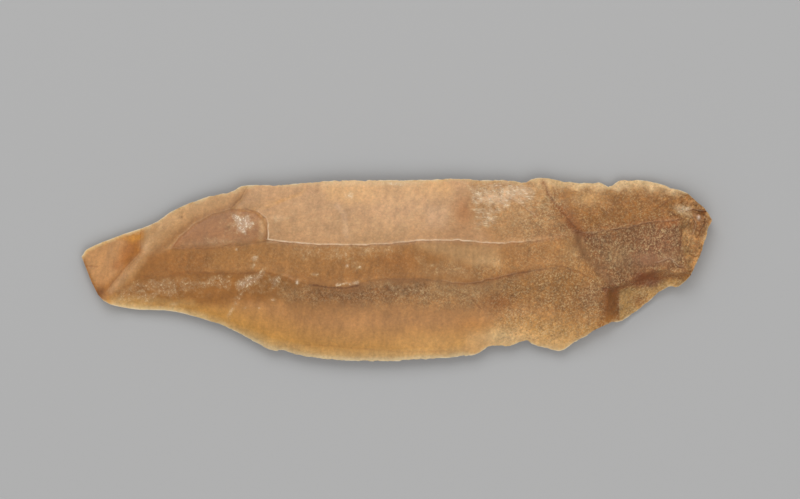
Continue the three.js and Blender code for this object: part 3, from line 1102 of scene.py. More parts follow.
    # dark cracks with painted shade in the creases and steps, and painted highlights on the lips
    # beside some of them
    hair_lines: tuple[HairLine, ...] = (
        HairLine(((141.5, 229), (140.5, 251), (123, 269.5), (106.5, 290)), 0.3, 0.1),
        HairLine(((267.5, 224), (268, 239.5), (300, 243.4), (325, 244.4)), 0.5, 0.95),
        HairLine(((325, 244.4), (365, 244.6), (385, 244), (415, 240.4)), 0.6, 0.7),
        HairLine(((415, 240.4), (457, 239.9), (490, 243.3), (503, 242.8)), 0.4, 0.85),
        HairLine(((503, 242.8), (522, 241.6)), 0.35, 0.45),
        HairLine(((522, 241.6), (534, 240)), 0.25, 0.2),
        HairLine(((534, 240), (545, 238.6), (575, 232)), 0.2),
        HairLine(((230, 209), (246, 208.4), (257.5, 211)), 0.6),
        HairLine(((257.5, 211), (265, 217.4), (267.5, 224)), 0.6, 0.3),
        HairLine(((180, 272.5), (200, 271.2), (232, 273), (264, 271), (282, 275), (300, 281.4),
            (313, 283.6)), 0.25),
        HairLine(((313, 283.6), (322, 285.2), (337, 287), (349, 286.2), (358, 284)), 0.8),
        HairLine(((358, 284), (366, 280.4), (385, 277.8), (422, 277.8), (440, 280)), 0.3),
        HairLine(((440, 280), (450, 282), (470, 282.6), (515, 272.6)), 0.5, 0.1),
        HairLine(((515, 272.6), (558, 265), (575, 270), (588, 277)), 0.45),
        HairLine(((85, 266), (97, 265.4)), 0.4),
        HairLine(((590, 233.4), (604, 229.6), (626, 227.8), (640, 223), (655, 221), (668, 220.6),
            (681, 218)), 0.7, 0.1),
        HairLine(((286, 345), (315, 344), (345, 346), (400, 351), (455, 350)), 0.2),
        HairLine(((498, 192), (507, 198), (516, 201), (526, 210), (533, 215)), 0.25, 0.2),
        HairLine(((653, 209), (661, 203), (670, 198.6), (682, 196)), 0.5),
        HairLine(((684, 211), (692, 208.8), (697, 211), (704, 210.6)), 1.0, 0.3),
        HairLine(((672, 214), (681, 219), (679.5, 232), (678, 248), (684, 262)), 0.7),
        HairLine(((684, 208), (690, 214), (694, 223), (691, 233)), 0.5, 0.2),
        HairLine(((704, 222), (697, 234), (694, 250), (689, 268)), 0.4),
        HairLine(((656, 262), (668, 258), (676, 266), (689, 268)), 0.6, 0.2),
        HairLine(((247, 187), (240, 198), (230, 209)), 0.45, 0.1),
        HairLine(((172, 247.6), (180, 236.4), (195, 223.4), (212, 213.8), (230, 209)), 0.35, 0.1),
        HairLine(((172, 247.6), (205, 248.2), (240, 243.8), (267, 240)), 0.3),
        HairLine(((543, 182), (549, 196), (556, 206), (566, 217), (576, 230)), 0.5),
        HairLine(((571, 231), (584, 232.6), (604, 231)), 0.4, 0.1),
        HairLine(((446, 283), (456, 290), (470, 296), (478, 306)), 0.5),
        HairLine(((500, 290), (520, 297), (548, 300), (562, 309)), 0.35),
        HairLine(((617.5, 292), (617.5, 318)), 0.25),
    )
    frosts: tuple[Frost, ...] = (
        Frost(FrostKind.GRAINY, (
            Area(((233, 216), (248, 213), (253, 223), (246, 233), (236, 230)), 1.0, 3.5, 5.0),
            Spot((243, 225), (24, 15), 0.6),
            Area(((204, 238), (228, 235), (232, 241), (215, 245)), 0.5, 4.0, 5.0),
            Area(((290, 245), (400, 246), (400, 254), (330, 260), (294, 256)), 0.5, 5.0, 6.0),
            Area(((415, 256), (470, 266), (470, 278), (420, 277)), 0.38, 6.0, 6.0),
            Area(((282, 282), (300, 286), (340, 289), (422, 281), (480, 286), (480, 302),
                (288, 299)), 0.32, 7.0, 8.0),
            Area(((385, 281), (425, 282), (432, 300), (395, 300)), 0.42, 5.0, 5.0),
            Streak(((342, 186), (345, 196), (352, 202)), 0.6, 2.0, 2.0),
            Spot((273, 299), (2.5, 1.5), 1.0),
            Spot((245, 307), (1.8, 1.5), 1.0),
            Spot((259, 307), (1.8, 1.2), 1.0),
            Spot((255, 258), (5, 4), 0.9),
            Spot((254, 265), (3, 4), 0.7),
            Spot((237, 249), (2, 2), 1.0),
            Spot((297, 281.5), (3.4, 3.6), 1.0),
            Spot((347, 265), (3, 2.4), 1.0),
            Spot((360, 266.5), (2, 2), 0.9),
            Spot((355, 264), (8, 6), 0.5),
            Spot((315, 273.8), (6, 2), 0.7),
            Streak(((337, 283.8), (346, 282.8), (357, 281.8)), 0.85, 1.8, 1.5),
            Area(((272, 216), (291, 217), (288, 223), (274, 222)), 0.5, 3.0, 3.0),
            Spot((396, 183), (24, 4), 0.8),
            Spot((350, 195), (5, 7), 0.8),
            Area(((340, 180), (440, 180), (440, 196), (390, 206), (345, 198)), 0.25, 8.0, 8.0),
            Area(((500, 194), (540, 190), (562, 226), (520, 236), (474, 232)), 0.36, 7.0, 8.0),
            Area(((668, 206), (676, 203), (689, 207), (690, 217), (676, 214)), 0.75, 4.0, 5.0),
            Area(((655, 254), (676, 250), (682, 262), (660, 264)), 0.5, 4.0, 4.0),
            Area(((590, 234), (606, 236), (604, 244), (592, 242)), 0.5, 4.0, 4.0),
            Area(((540, 180), (640, 182), (672, 190), (640, 196), (545, 192)), 0.3, 6.0, 6.0),
        )),
        Frost(FrostKind.SLANTED, (
            Area(((106, 299), (124, 286), (145, 279), (180, 275), (232, 275), (234, 286),
                (205, 292), (165, 299), (128, 303)), 0.55, 4.0, 6.0),
            Area(((226, 280), (262, 274), (290, 284), (285, 296), (250, 296)), 0.35, 5.0, 6.0),
            Area(((232, 284), (246, 274), (266, 270), (264, 280), (250, 288), (238, 292)), 0.8,
                5.0, 5.0),
            Area(((266, 275), (282, 275), (278, 288), (268, 294)), 0.65, 5.0, 5.0),
            Streak(((246, 286), (238, 298), (228, 316)), 0.6, 2.6, 2.0),
        )),
        Frost(FrostKind.LEVEL, (
            Area(((272, 206), (310, 186), (460, 184), (460, 234), (320, 240), (272, 236)), 0.28,
                9.0, 8.0),
            Area(((462, 182), (524, 180), (540, 196), (520, 208), (474, 206)), 0.77, 8.0, 9.0),
            Area(((468, 206), (504, 204), (496, 230), (472, 230)), 0.7, 6.0, 6.0),
            Area(((500, 184), (562, 182), (560, 212), (520, 224)), 0.45, 8.0, 8.0),
        )),
    )
    grain: tuple[Mark, ...] = (
        Area(((556, 170), (700, 170), (725, 240), (690, 300), (610, 340), (560, 345), (500, 338),
            (485, 300), (500, 276), (556, 268), (580, 235)), 0.95, 12.0, 8.0),
        Area(((278, 282), (300, 287), (340, 289), (422, 281), (480, 286), (520, 276), (520, 310),
            (430, 306), (284, 300)), 0.65, 7.0, 6.0),
        Area(((425, 262), (480, 278), (540, 268), (575, 262), (575, 236), (520, 243), (500, 252),
            (470, 268)), 0.6, 8.0, 6.0),
        Area(((470, 178), (560, 176), (575, 232), (500, 240), (480, 222)), 0.6, 8.0, 6.0),
        Area(((525, 190), (560, 190), (580, 236), (520, 242)), 0.9, 9.0, 6.0),
        Area(((180, 250), (268, 243), (425, 246), (425, 276), (335, 284), (264, 271), (150, 274)),
            0.22, 6.0, 6.0),
    )
    smooth: tuple[Mark, ...] = (
        Spot((646, 260), (18, 7), 0.8),
        Spot((645, 276), (18, 6), 0.9),
        Area(((602, 288), (617, 286), (617, 322), (604, 325)), 0.8, 3.0, 1.0),
        Streak(((566, 220), (576, 236), (582, 252), (600, 274), (611, 284)), 0.6, 5.0),
        Spot((500, 302), (14, 8), 0.6),
        Area(((560, 174), (690, 186), (696, 214), (600, 228), (566, 214)), 0.3, 8.0, 6.0),
    )
    crust: tuple[Mark, ...] = (
        Area(((662, 204), (690, 198), (696, 216), (676, 219)), 1.0, 3.0, 3.0),
        Area(((678, 200), (681, 247), (688, 270), (700, 290), (725, 260), (725, 200), (700, 190)),
            1.0, 3.0, 3.0),
        Area(((640, 176), (700, 190), (690, 215), (655, 214)), 0.5, 8.0, 6.0),
        Area(((585, 236), (676, 224), (680, 262), (615, 280)), 0.3, 8.0, 6.0),
    )
    underside_tone: DisplayTone = (168, 122, 80)
    underside_share: float = 0.6
    side_tone: DisplayTone = (166, 126, 86)
    grain_below: float = 0.3
    line_drift: float = 0.9
    line_bay: float = 6.0
    line_shift: float = 40.0
    line_reach_mm: Span = (0.6, 0.35)
    side_layers: Span = (0.01, 0.99)
    upper_layer: float = 0.5

    @property
    def tones(self) -> tuple[Tone, ...]:
        """Every tone, in the order in which they are laid."""
        return (self.middle_scar_tones + self.back_scar_tones_and_sheen + self.tip_tones
                + self.belt_tones + self.butt_and_edge_tones + self.fold_stain_and_shade_tones)

    def toned(self, x: Array, y: Array, thickness: Array, layer: Array) -> Array:
        """Lays the tones down, some of them painted shade and highlights, over a body whose tone
        follows its thickness, with a painted glow where it is thin.

        Args:
            x: View x.
            y: View y.
            thickness: Millimetres of flint below each place.
            layer: 0 on the underside to 1 on top.

        Returns:
            The stone's colour at each place.
        """
        depths, shown = zip(*self.by_thickness)
        ramp = np.array([stone_tone(tone) for tone in shown])
        body = np.stack([np.interp(thickness, depths, part) for part in ramp.T], axis=1)
        top = body
        for tone in self.tones:
            top = blend_between(top, stone_tone(tone.colour), tone.mark.cover(x, y)[:, None])
        under = blend_between(body, stone_tone(self.underside_tone), self.underside_share)
        foot, head = self.side_layers
        colour = np.where(layer[:, None] > head, top, under)
        colour[(layer > foot) & (layer <= head)] = stone_tone(self.side_tone)
        return colour

    def paint(self, x: Array, y: Array, thickness: Array, layer: Array) -> dict[str, Array]:
        """Lays the tones, some of them painted shade and highlights, the frost and the hair lines
        down.

        Args:
            x: View x.
            y: View y.
            thickness: Millimetres of flint below each place.
            layer: 0 on the underside to 1 on top.

        Returns:
            Colour, grain, crust, each kind of frost and the lines, by attribute name.
        """
        upper = layer > self.upper_layer
        grain = covered(self.grain, x, y) * (1.0 - covered(self.smooth, x, y))
        laid = {
            "stone_colour": self.toned(x, y, thickness, layer),
            "grain": grain * blend_between(self.grain_below, 1.0, upper),
            "crust": covered(self.crust, x, y),
        }
        laid.update(self.lay_lines_and_painted_light(x, y, layer > self.side_layers[1]))
        for frost in self.frosts:
            laid[frost.kind.value] = covered(frost.marks, x, y) * upper
        return laid

    def lay_lines_and_painted_light(self, x: Array, y: Array, on_top: Array) -> dict[str, Array]:
        """Lays the hair lines down, with their painted shade and painted highlights.

        Args:
            x: View x.
            y: View y.
            on_top: Whether each place is on the upper side.

        Returns:
            The signed gap to the nearest line in millimetres, how dark its crack and painted shade
            are, and how strong its painted highlight is.
        """
        across, down = x / self.line_bay, y / self.line_bay
        drift_x = self.line_drift * BORDER_NOISE.layered(across, down, 2)
        drift_y = self.line_drift * BORDER_NOISE.layered(across + self.line_shift, down, 2)
        sides = np.array([line.side(x + drift_x, y + drift_y) for line in self.hair_lines])
        nearest = np.abs(sides).argmin(axis=0)
        side = np.take_along_axis(sides, nearest[None, :], axis=0)[0] * VIEW.unit
        close = ease(np.abs(side), *self.line_reach_mm) * on_top
        dark = np.array([line.dark for line in self.hair_lines])[nearest]
        lit = np.array([line.lit for line in self.hair_lines])[nearest]
        return {"line_side": side, "line_dark": dark * close, "line_lit": lit * close}


@dataclass(frozen=True)
class Pattern:
    """Noise in the stone: its size, its finer sizes and the way that it is drawn out.

    The turn is in degrees from +X, and the stretch says how much longer than wide it is.
    """

    size_mm: float
    detail: float = 3.0
    roughness: float = 0.65
    turn: float = 0.0
    stretch: float = 1.0


@dataclass(frozen=True)
class Mottling:
    """Lighter and darker mottling, and how much stronger it is on grainy flint."""

    pattern: Pattern
    strength: float
    more_on_grain: float = 0.0


class NodeBench:
    """Adds shader nodes to a material and joins them."""

    # places of the sockets on a node that mixes colours
    MIX_SHARE = 0
    MIX_COLOURS = (6, 7)
    MIX_RESULT = 2
    MOTTLE_SPAN: Span = (0.3, 0.7)
    FLECK_SPAN: Span = (0.52, 0.66)
    SEAM_SPAN: Span = (0.03, 0.004)

    def __init__(self, material: bpy.types.Material) -> None:
        """Takes the material's node tree."""
        material.use_nodes = True
        self.tree = material.node_tree

    def add(self, kind: str, inputs: dict[str | int, object], **settings: object) -> bpy.types.Node:
        """Adds one node.

        Args:
            kind: The node's type.
            inputs: A value or another node's output for each input.
            settings: The node's own options.

        Returns:
            The node.
        """
        node = self.tree.nodes.new(kind)
        for name, value in settings.items():
            setattr(node, name, value)
        for key, value in inputs.items():
            if isinstance(value, bpy.types.NodeSocket):
                self.tree.links.new(value, node.inputs[key])
            else:
                node.inputs[key].default_value = value
        return node

    def attribute(self, name: str) -> Socket:
        """Adds a reading of one of the mesh's own values."""
        return self.add("ShaderNodeAttribute", {}, attribute_name=name).outputs["Fac"]

    def calculate(self, operation: str, first: object, second: object = 0.0) -> Socket:
        """Adds a calculation with one or two values."""
        return self.add("ShaderNodeMath", {0: first, 1: second}, operation=operation).outputs[0]

    def plus(self, first: object, second: object) -> Socket:
        """Adds a sum."""
        return self.calculate("ADD", first, second)

    def times(self, first: object, second: object) -> Socket:
        """Adds a product."""
        return self.calculate("MULTIPLY", first, second)

    def scaled(self, value: object, gain: float, start: float) -> Socket:
        """Adds a straight rise: a value times a gain, plus a start."""
        return self.plus(self.times(value, gain), start)

    def step(self, value: object, start: float, end: float) -> Socket:
        """Adds a rise from 0 to 1 between two values."""
        inputs = {"Value": value, "From Min": start, "From Max": end}
        return self.add("ShaderNodeMapRange", inputs, clamp=True).outputs[0]

    def mix(self, share: object, low: object, high: object, way: str = "MIX") -> Socket:
        """Adds a mix of two colours, each a plain one or another node's.

        Args:
            share: How much of the second colour is mixed in.
            low: The first colour.
            high: The second colour.
            way: How the two are mixed.

        Returns:
            The mixed colour.
        """
        ends = ((*tone, 1.0) if isinstance(tone, tuple) else tone for tone in (low, high))
        inputs = {self.MIX_SHARE: share, **dict(zip(self.MIX_COLOURS, ends))}
        node = self.add("ShaderNodeMix", inputs, data_type="RGBA", blend_type=way)
        return node.outputs[self.MIX_RESULT]

    def noise(self, pattern: Pattern) -> Socket:
        """Adds noise of 0 to 1.

        Args:
            pattern: Its size, detail and direction.

        Returns:
            The noise.
        """
        place = self.add("ShaderNodeTexCoord", {}).outputs["Object"]
        if pattern.stretch != 1.0:
            drawn = {"Vector": place, "Rotation": (0.0, 0.0, math.radians(pattern.turn)),
                     "Scale": (pattern.stretch, 1.0, 1.0)}
            place = self.add("ShaderNodeMapping", drawn, vector_type="TEXTURE").outputs[0]
        inputs = {"Vector": place, "Scale": 1.0 / (pattern.size_mm * MM),
                  "Detail": pattern.detail, "Roughness": pattern.roughness}
        return self.add("ShaderNodeTexNoise", inputs).outputs[0]

    def mottled(self, colour: object, noise: object, strength: object) -> Socket:
        """Adds lighter and darker mottling to a colour.

        Args:
            colour: The colour.
            noise: Noise of 0 to 1.
            strength: How far apart the lightest and darkest places are, as a share.

        Returns:
            The mottled colour.
        """
        spread = self.calculate("SUBTRACT", self.step(noise, *self.MOTTLE_SPAN), 0.5)
        factor = self.plus(self.times(spread, strength), 1.0)
        scaled = {0: colour, "Scale": factor}
        return self.add("ShaderNodeVectorMath", scaled, operation="SCALE").outputs[0]

    def flecks(self, pattern: Pattern) -> Socket:
        """Adds fine flecks, 1 on a fleck and 0 between them."""
        return self.step(self.noise(pattern), *self.FLECK_SPAN)

    def seams(self, pattern: Pattern) -> Socket:
        """Adds thin curling seams, 1 on a seam and 0 between them."""
        middle = self.calculate("SUBTRACT", self.noise(pattern), 0.5)
        return self.step(self.calculate("ABSOLUTE", middle), *self.SEAM_SPAN)


@dataclass(frozen=True)
class FlintFinish:
    """Semi-translucent flint: waxy where fresh, pale and grainy where weathered."""

    name: str = "flint"
    mottlings: tuple[Mottling, ...] = (
        Mottling(Pattern(4.0, 4.0, 0.55), 0.24),
        Mottling(Pattern(0.8, 3.0, 0.6, 82.0, 5.0), 0.24),
        Mottling(Pattern(1.5, 5.0, 0.65), 0.16, 0.4),
        Mottling(Pattern(0.36, 4.0, 0.7), 0.32, 0.5),
    )
    pits: Pattern = Pattern(0.32, turn=20.0, stretch=1.4)
    pit_share: float = 0.24
    pit_colour: Colour = (0.22, 0.105, 0.045)
    gold: tuple[Pattern, Pattern] = (
        Pattern(0.25, turn=60.0, stretch=1.5), Pattern(0.2, turn=150.0, stretch=1.3),
    )
    gold_clouds: Pattern = Pattern(1.7, 4.0, 0.6)
    gold_span: Span = (0.2, 0.6)
    gold_share: float = 0.58
    gold_colour: Colour = (0.74, 0.52, 0.255)

    lumps: Pattern = Pattern(1.0, 5.0, 0.75)
    lump_share: float = 0.7
    seams: Pattern = Pattern(1.6, 3.0, 0.6, 60.0, 1.6)
    seam_share: float = 0.5
    # darkens the cracks and seams, with the shade in them painted
    crack_and_painted_shade: Colour = (0.52, 0.4, 0.3)

    frost_patterns: tuple[tuple[FrostKind, tuple[Pattern, Pattern]], ...] = (
        (FrostKind.GRAINY, (Pattern(0.42, turn=30.0, stretch=1.5),
                            Pattern(0.24, turn=100.0, stretch=1.5))),
        (FrostKind.SLANTED, (Pattern(0.3, turn=56.0, stretch=3.2),
                             Pattern(0.25, turn=112.0, stretch=2.4))),
        (FrostKind.LEVEL, (Pattern(0.24, turn=3.0, stretch=5.0),
                           Pattern(0.21, turn=164.0, stretch=3.0))),
    )
    frost_clusters: Pattern = Pattern(0.8, 4.0, 0.7)
    cluster_gain: float = 0.24
    cluster_span: Span = (0.5, 0.76)
    frost_span: Span = (0.02, 0.8)
    frost_veil: float = 0.26
    thin_frost: Colour = (0.77, 0.555, 0.28)
    dense_frost: Colour = (0.92, 0.8, 0.62)
    dense_span: Span = (0.4, 1.0)

    # makes the reach of both the painted edge glow and the worn rim uneven
    wear: Pattern = Pattern(1.3, 4.0, 0.7)
    wear_span: Span = (0.36, 0.66)
    # a painted glow of light through the thin edges
    painted_glow_reach_mm: Span = (0.12, 0.75)
    painted_glow_span: Span = (1.0, 0.0)
    painted_glow_share: float = 0.7
    painted_glow_colour: Colour = (0.66, 0.46, 0.23)
    rim_reach_mm: Span = (0.04, 0.16)
    rim_span: Span = (1.3, 0.5)
    rim_share: float = 0.6
    rim_colour: Colour = (0.74, 0.62, 0.42)

    # hair lines: a dark crack with painted shade along it
    line_unevenness: Pattern = Pattern(0.9, 4.0, 0.75)
    line_unevenness_span: Span = (0.32, 0.68)
    crack_and_shade_width_mm: Span = (0.02, 0.15)
    crack_and_shade_side_mm: float = 0.05
    crack_and_shade_span: Span = (0.07, -0.05)
    crack_and_shade_fade: Span = (-0.6, 0.7)
    # and a painted highlight on the lip beside it
    painted_highlight_breakup: Pattern = Pattern(1.6, 3.0, 0.7)
    painted_highlight_breakup_span: Span = (0.2, 0.6)
    painted_highlight_side_mm: float = 0.09
    painted_highlight_span: Span = (0.12, 0.03)
    painted_highlight_share: float = 0.8
    painted_highlight_colour: Colour = (0.82, 0.62, 0.42)

    smooth_roughness: float = 0.42
    frost_roughness: float = 0.2
    grain_roughness: float = 0.12
    bumps: Pattern = Pattern(0.32, 4.0, 0.7)
    bump_heights: Span = (0.15, 0.9)
    frost_height: float = 0.3
    crust_height: float = 1.5
    crack_depth: float = 0.5
    bump_strength: float = 0.8
    bump_reach_m: float = 0.00006
    ior: float = 1.53
    gloss: float = 0.32
    clear: float = 0.12
    clear_reach_m: Colour = (0.0022, 0.0011, 0.0005)

    def speckled(self, bench: NodeBench, tone: Socket, grain: Socket) -> Socket:
        """Mottles the stone and lays dark pits and golden grains where it is grainy.

        Args:
            bench: Where the nodes are added.
            tone: The stone's colour.
            grain: How grainy it is.

        Returns:
            The speckled colour.
        """
        for mottling in self.mottlings:
            strength = mottling.strength
            if mottling.more_on_grain:
                strength = bench.scaled(grain, mottling.more_on_grain, strength)
            tone = bench.mottled(tone, bench.noise(mottling.pattern), strength)
        pits = bench.times(bench.flecks(self.pits), grain)
        tone = bench.mix(bench.times(pits, self.pit_share), tone, self.pit_colour)
        clouds = bench.step(bench.noise(self.gold_clouds), *self.gold_span)
        gold = bench.calculate("MAXIMUM", *(bench.flecks(pattern) for pattern in self.gold))
        gold = bench.times(gold, bench.times(grain, clouds))
        return bench.mix(bench.times(gold, self.gold_share), tone, self.gold_colour)

    def crusted(self, bench: NodeBench, tone: Socket) -> tuple[Socket, Socket]:
        """Breaks the stone up where it has a crust, with dark seams that hold painted shade.

        Args:
            bench: Where the nodes are added.
            tone: The stone's colour.

        Returns:
            The colour, and how high the broken surface stands.
        """
        crust = bench.attribute("crust")
        lumps = bench.noise(self.lumps)
        tone = bench.mottled(tone, lumps, bench.times(crust, self.lump_share))
        # dark cracks in the crust, with painted shade in their crevices
        seams = bench.times(bench.seams(self.seams), crust)
        tone = bench.mix(bench.times(seams, self.seam_share), tone, self.crack_and_painted_shade, "MULTIPLY")
        return tone, bench.times(bench.calculate("SUBTRACT", lumps, seams), crust)

    def frosted(self, bench: NodeBench, tone: Socket) -> tuple[Socket, Socket]:
        """Lays each kind of frost in clusters of flecks over a thin veil.

        Args:
            bench: Where the nodes are added.
            tone: The stone's colour.

        Returns:
            The colour, and how much of the stone the frost covers.
        """
        cover = densest = 0.0
        clusters = bench.noise(self.frost_clusters)
        for kind, patterns in self.frost_patterns:
            share = bench.attribute(kind.value)
            densest = bench.calculate("MAXIMUM", densest, share)
            patchy = bench.plus(bench.times(share, self.cluster_gain), clusters)
            patchy = bench.times(bench.step(patchy, *self.cluster_span),
                                 bench.step(share, *self.frost_span))
            for layer in (*(bench.flecks(pattern) for pattern in patterns), self.frost_veil):
                cover = bench.calculate("MAXIMUM", cover, bench.times(patchy, layer))
        dense = bench.step(densest, *self.dense_span)
        frost = bench.mix(dense, self.thin_frost, self.dense_frost)
        return bench.mix(cover, tone, frost), cover

    def rimmed(self, bench: NodeBench, tone: Socket) -> Socket:
        """Paints a glow of light through the edges where they are thin, with a pale worn rim.

        Args:
            bench: Where the nodes are added.
            tone: The stone's colour.

        Returns:
            The colour.
        """
        gap = bench.attribute("to_edge")
        worn = bench.step(bench.noise(self.wear), *self.wear_span)
        for (least, more), span, share, colour in (
            (self.painted_glow_reach_mm, self.painted_glow_span, self.painted_glow_share, self.painted_glow_colour),
            (self.rim_reach_mm, self.rim_span, self.rim_share, self.rim_colour),
        ):
            reach = bench.scaled(worn, more, least)
            near = bench.step(bench.calculate("DIVIDE", gap, reach), *span)
            tone = bench.mix(bench.times(near, share), tone, colour)
        return tone

    def lined_with_painted_light(self, bench: NodeBench, tone: Socket) -> tuple[Socket, Socket]:
        """Draws the hair lines: uneven dark cracks with painted shade, and a painted highlight on
        the lip beside them.

        Args:
            bench: Where the nodes are added.
            tone: The stone's colour.

        Returns:
            The colour, and how deep the cracks are.
        """
        side = bench.attribute("line_side")
        uneven = bench.step(bench.noise(self.line_unevenness), *self.line_unevenness_span)
        least, more = self.crack_and_shade_width_mm
        width = bench.scaled(uneven, more, least)
        off_line = bench.calculate("SUBTRACT", side, self.crack_and_shade_side_mm)
        away = bench.calculate("SUBTRACT", bench.calculate("ABSOLUTE", off_line), width)
        crack = bench.times(bench.step(away, *self.crack_and_shade_span), bench.attribute("line_dark"))
        crack = bench.times(crack, bench.step(uneven, *self.crack_and_shade_fade))
        # darkens the crack, its painted shade included
        tone = bench.mix(crack, tone, self.crack_and_painted_shade, "MULTIPLY")
        # painted highlight on the lip beside the line
        off_lip = bench.calculate("ABSOLUTE", bench.plus(side, self.painted_highlight_side_mm))
        lip = bench.times(bench.step(off_lip, *self.painted_highlight_span), bench.attribute("line_lit"))
        lip = bench.times(lip, bench.step(bench.noise(self.painted_highlight_breakup), *self.painted_highlight_breakup_span))
        return bench.mix(bench.times(lip, self.painted_highlight_share), tone, self.painted_highlight_colour), crack

    def build(self) -> bpy.types.Material:
        """Makes the material.

        Returns:
            The flint.
        """
        material = bpy.data.materials.new(self.name)
        bench = NodeBench(material)
        grain = bench.attribute("grain")
        stone = bench.add("ShaderNodeAttribute", {}, attribute_name="stone_colour")
        tone = self.speckled(bench, stone.outputs["Color"], grain)
        tone, broken = self.crusted(bench, tone)
        tone, cover = self.frosted(bench, tone)
        tone, crack = self.lined_with_painted_light(bench, self.rimmed(bench, tone))

        rough = bench.scaled(cover, self.frost_roughness, self.smooth_roughness)
        rough = bench.plus(bench.times(grain, self.grain_roughness), rough)
        least, more = self.bump_heights
        height = bench.times(bench.noise(self.bumps), bench.scaled(grain, more, least))
        height = bench.plus(height, bench.times(cover, self.frost_height))
        height = bench.plus(height, bench.times(broken, self.crust_height))
        height = bench.calculate("SUBTRACT", height, bench.times(crack, self.crack_depth))
        bump = bench.add("ShaderNodeBump", {
            "Strength": self.bump_strength, "Distance": self.bump_reach_m, "Height": height,
        })

        shader = bench.tree.nodes["Principled BSDF"]
        bench.tree.links.new(tone, shader.inputs["Base Color"])
        bench.tree.links.new(rough, shader.inputs["Roughness"])
        bench.tree.links.new(bump.outputs[0], shader.inputs["Normal"])
        shader.inputs["IOR"].default_value = self.ior
        shader.inputs["Specular IOR Level"].default_value = self.gloss
        shader.inputs["Subsurface Weight"].default_value = self.clear
        shader.inputs["Subsurface Radius"].default_value = self.clear_reach_m
        shader.inputs["Subsurface Scale"].default_value = 1.0
        return material


@dataclass
class FlintBlade:
    """The struck blade: its mesh, the marks on it and its flint."""

    form: BladeForm = field(default_factory=BladeForm)
    marks_and_painted_light: StoneMarksAndPaintedLight = field(default_factory=StoneMarksAndPaintedLight)
    finish: FlintFinish = field(default_factory=FlintFinish)
    name: str = "flint_blade"
    stations: int = 280
    strips: int = 60
    layers: int = 4
    band_shares: tuple[float, float, float] = (0.38, 0.24, 0.38)
    sharp_angle: float = 50.0

    def block(self) -> bmesh.types.BMesh:
        """Makes a unit block with a grid on each side, twice as fine on top.

        Returns:
            The block, from -0.5 to 0.5 each way.
        """
        half = 0.5
        block = bmesh.new()
        bmesh.ops.create_cube(block, size=1.0)
        for axis, parts in enumerate((self.stations, self.strips, self.layers)):
            run = [
                edge for edge in block.edges
                if abs(edge.verts[0].co[axis] - edge.verts[1].co[axis]) > half
            ]
            bmesh.ops.subdivide_edges(block, edges=run, cuts=parts - 1, use_grid_fill=True)
        top = {edge for face in block.faces if face.normal.z > half for edge in face.edges}
        bmesh.ops.subdivide_edges(block, edges=list(top), cuts=1, use_grid_fill=True)
        return block

    def carve(self, mesh: bpy.types.Mesh) -> None:
        """Carries the block's vertices onto the blade and paints them.

        Args:
            mesh: The block as a mesh, whose vertices are moved.
        """
        flat = np.zeros(len(mesh.vertices) * 3)
        mesh.vertices.foreach_get("co", flat)
        place = flat.reshape(-1, 3) + 0.5
        knots = np.concatenate(([0.0], np.cumsum(self.band_shares)))
        across = np.interp(place[:, 1], knots, np.arange(float(len(knots))))
        band = np.minimum(across.astype(int), Band.BACK)
        surface = self.form.surface(place[:, 0], band, across - band)
        height = blend_between(surface["below"], surface["top"], place[:, 2])
        co = np.column_stack((VIEW.x_mm(surface["x"]), VIEW.y_mm(surface["y"]), height)) * MM
        mesh.vertices.foreach_set("co", self.fit(co).ravel())
        mesh.update()
        thickness = surface["top"] - surface["below"]
        painted = self.marks_and_painted_light.paint(surface["x"], surface["y"], thickness, place[:, 2])
        painted["to_edge"] = surface["to_edge"]
        colour = mesh.attributes.new("stone_colour", "FLOAT_COLOR", "POINT")
        opaque = np.ones((len(place), 1))
        stone = painted.pop("stone_colour")
        colour.data.foreach_set("color", np.hstack((stone, opaque)).ravel())
        for name, values in painted.items():
            share = mesh.attributes.new(name, "FLOAT", "POINT")
            share.data.foreach_set("value", values)

    def fit(self, co: Array) -> Array:
        """Sets the mesh in the solid's box.

        Args:
            co: The vertices, in metres.

        Returns:
            The vertices, centred in the box and no larger than it.
        """
        low, high = (np.array(corner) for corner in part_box(NODE))
        middle = (co.max(axis=0) + co.min(axis=0)) / 2.0
        reach = co.max(axis=0) - co.min(axis=0)
        scale = np.minimum((high - low) / reach, 1.0)
        placed = (co - middle) * scale + (high + low) / 2.0
        placed[:, 2] += low[2] - placed[:, 2].min()
        return placed

    def build(self) -> bpy.types.Object:
        """Makes the blade.

        Returns:
            The finished object.
        """
        mesh = bpy.data.meshes.new(self.name)
        block = self.block()
        block.to_mesh(mesh)
        block.free()
        self.carve(mesh)
        mesh.shade_smooth()
        mesh.set_sharp_from_angle(angle=math.radians(self.sharp_angle))
        mesh.materials.append(self.finish.build())
        blade = bpy.data.objects.new(self.name, mesh)
        bpy.context.scene.collection.objects.link(blade)
        return blade


@dataclass(frozen=True)
class PaleFloor:
    """The plain pale surface that the blade lies on."""

    name: str = "floor"
    reach_m: float = 1.5
    colour: Colour = (0.42, 0.42, 0.42)
    roughness: float = 0.9

    def build(self) -> bpy.types.Object:
        """Makes the floor.

        Returns:
            The floor.
        """
        mesh = bpy.data.meshes.new(self.name)
        plate = bmesh.new()
        bmesh.ops.create_grid(plate, x_segments=1, y_segments=1, size=self.reach_m)
        plate.to_mesh(mesh)
        plate.free()
        material = bpy.data.materials.new(self.name)
        material.use_nodes = True
        shader = material.node_tree.nodes["Principled BSDF"]
        shader.inputs["Base Color"].default_value = (*self.colour, 1.0)
        shader.inputs["Roughness"].default_value = self.roughness
        mesh.materials.append(material)
        floor = bpy.data.objects.new(self.name, mesh)
        bpy.context.scene.collection.objects.link(floor)
        return floor


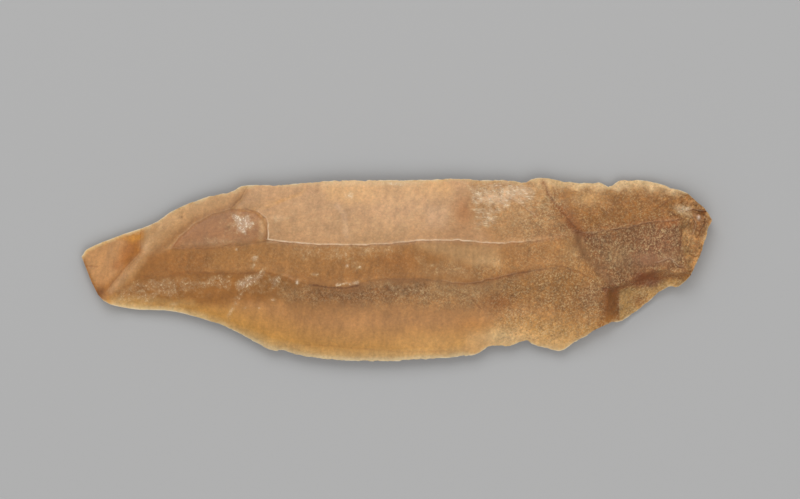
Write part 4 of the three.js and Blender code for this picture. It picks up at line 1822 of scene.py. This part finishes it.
@dataclass(frozen=True)
class SoftBox:
    """A square studio light aimed at the blade."""

    name: str
    azimuth: float
    elevation: float
    distance_m: float
    side_m: float
    watts: float

    def build(self) -> bpy.types.Object:
        """Makes the light.

        Returns:
            The light's object.
        """
        turn, rise = math.radians(self.azimuth), math.radians(self.elevation)
        place = Vector((
            math.cos(rise) * math.cos(turn),
            math.cos(rise) * math.sin(turn),
            math.sin(rise),
        )) * self.distance_m
        light = bpy.data.lights.new(self.name, "AREA")
        light.size = self.side_m
        light.energy = self.watts
        box = bpy.data.objects.new(self.name, light)
        box.location = place
        box.rotation_euler = (-place).to_track_quat("-Z", "Y").to_euler()
        bpy.context.scene.collection.objects.link(box)
        return box


@dataclass(frozen=True)
class Studio:
    """Camera, lights and the look of the light."""

    lens_mm: float = 200.0
    sensor_mm: float = 36.0
    edge_height_mm: float = 0.8
    clip_start_m: float = 0.01
    sky: Colour = (0.6, 0.6, 0.6)
    boxes: tuple[SoftBox, ...] = (
        SoftBox("key_box", 105.0, 48.0, 0.6, 0.4, 1.35),
        SoftBox("fill_box", -70.0, 50.0, 0.7, 0.6, 1.35),
    )

    def camera(self) -> bpy.types.Object:
        """Sets a camera straight above the blade.

        Returns:
            The camera's object.
        """
        data = bpy.data.cameras.new("camera")
        data.lens = self.lens_mm
        data.sensor_width = self.sensor_mm
        data.clip_start = self.clip_start_m
        width_mm = IMAGE_WIDTH * VIEW.unit
        distance_mm = width_mm * self.lens_mm / self.sensor_mm + self.edge_height_mm
        camera = bpy.data.objects.new("camera", data)
        camera.location = (
            VIEW.x_mm(IMAGE_MIDDLE[0]) * MM,
            VIEW.y_mm(IMAGE_MIDDLE[1]) * MM,
            distance_mm * MM,
        )
        bpy.context.scene.collection.objects.link(camera)
        bpy.context.scene.camera = camera
        return camera

    def light(self) -> None:
        """Sets the sky, the soft boxes and a plain display look."""
        world = bpy.data.worlds.new("studio")
        world.use_nodes = True
        world.node_tree.nodes["Background"].inputs["Color"].default_value = (*self.sky, 1.0)
        bpy.context.scene.world = world
        for box in self.boxes:
            box.build()
        bpy.context.scene.view_settings.view_transform = "Standard"


def main() -> None:
    """Builds the camera, the light, the floor and the blade."""
    logging.basicConfig(level=logging.INFO, format="%(message)s")
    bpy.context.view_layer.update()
    studio = Studio()
    studio.camera()
    studio.light()
    floor = PaleFloor().build()
    log.info("%s: pale, %d face", floor.name, len(floor.data.polygons))
    blade = FlintBlade().build()
    log.info("%s: %d vertices", blade.name, len(blade.data.vertices))
    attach(blade, BODY)
    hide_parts(NODE)


if __name__ == "__main__":
    main()
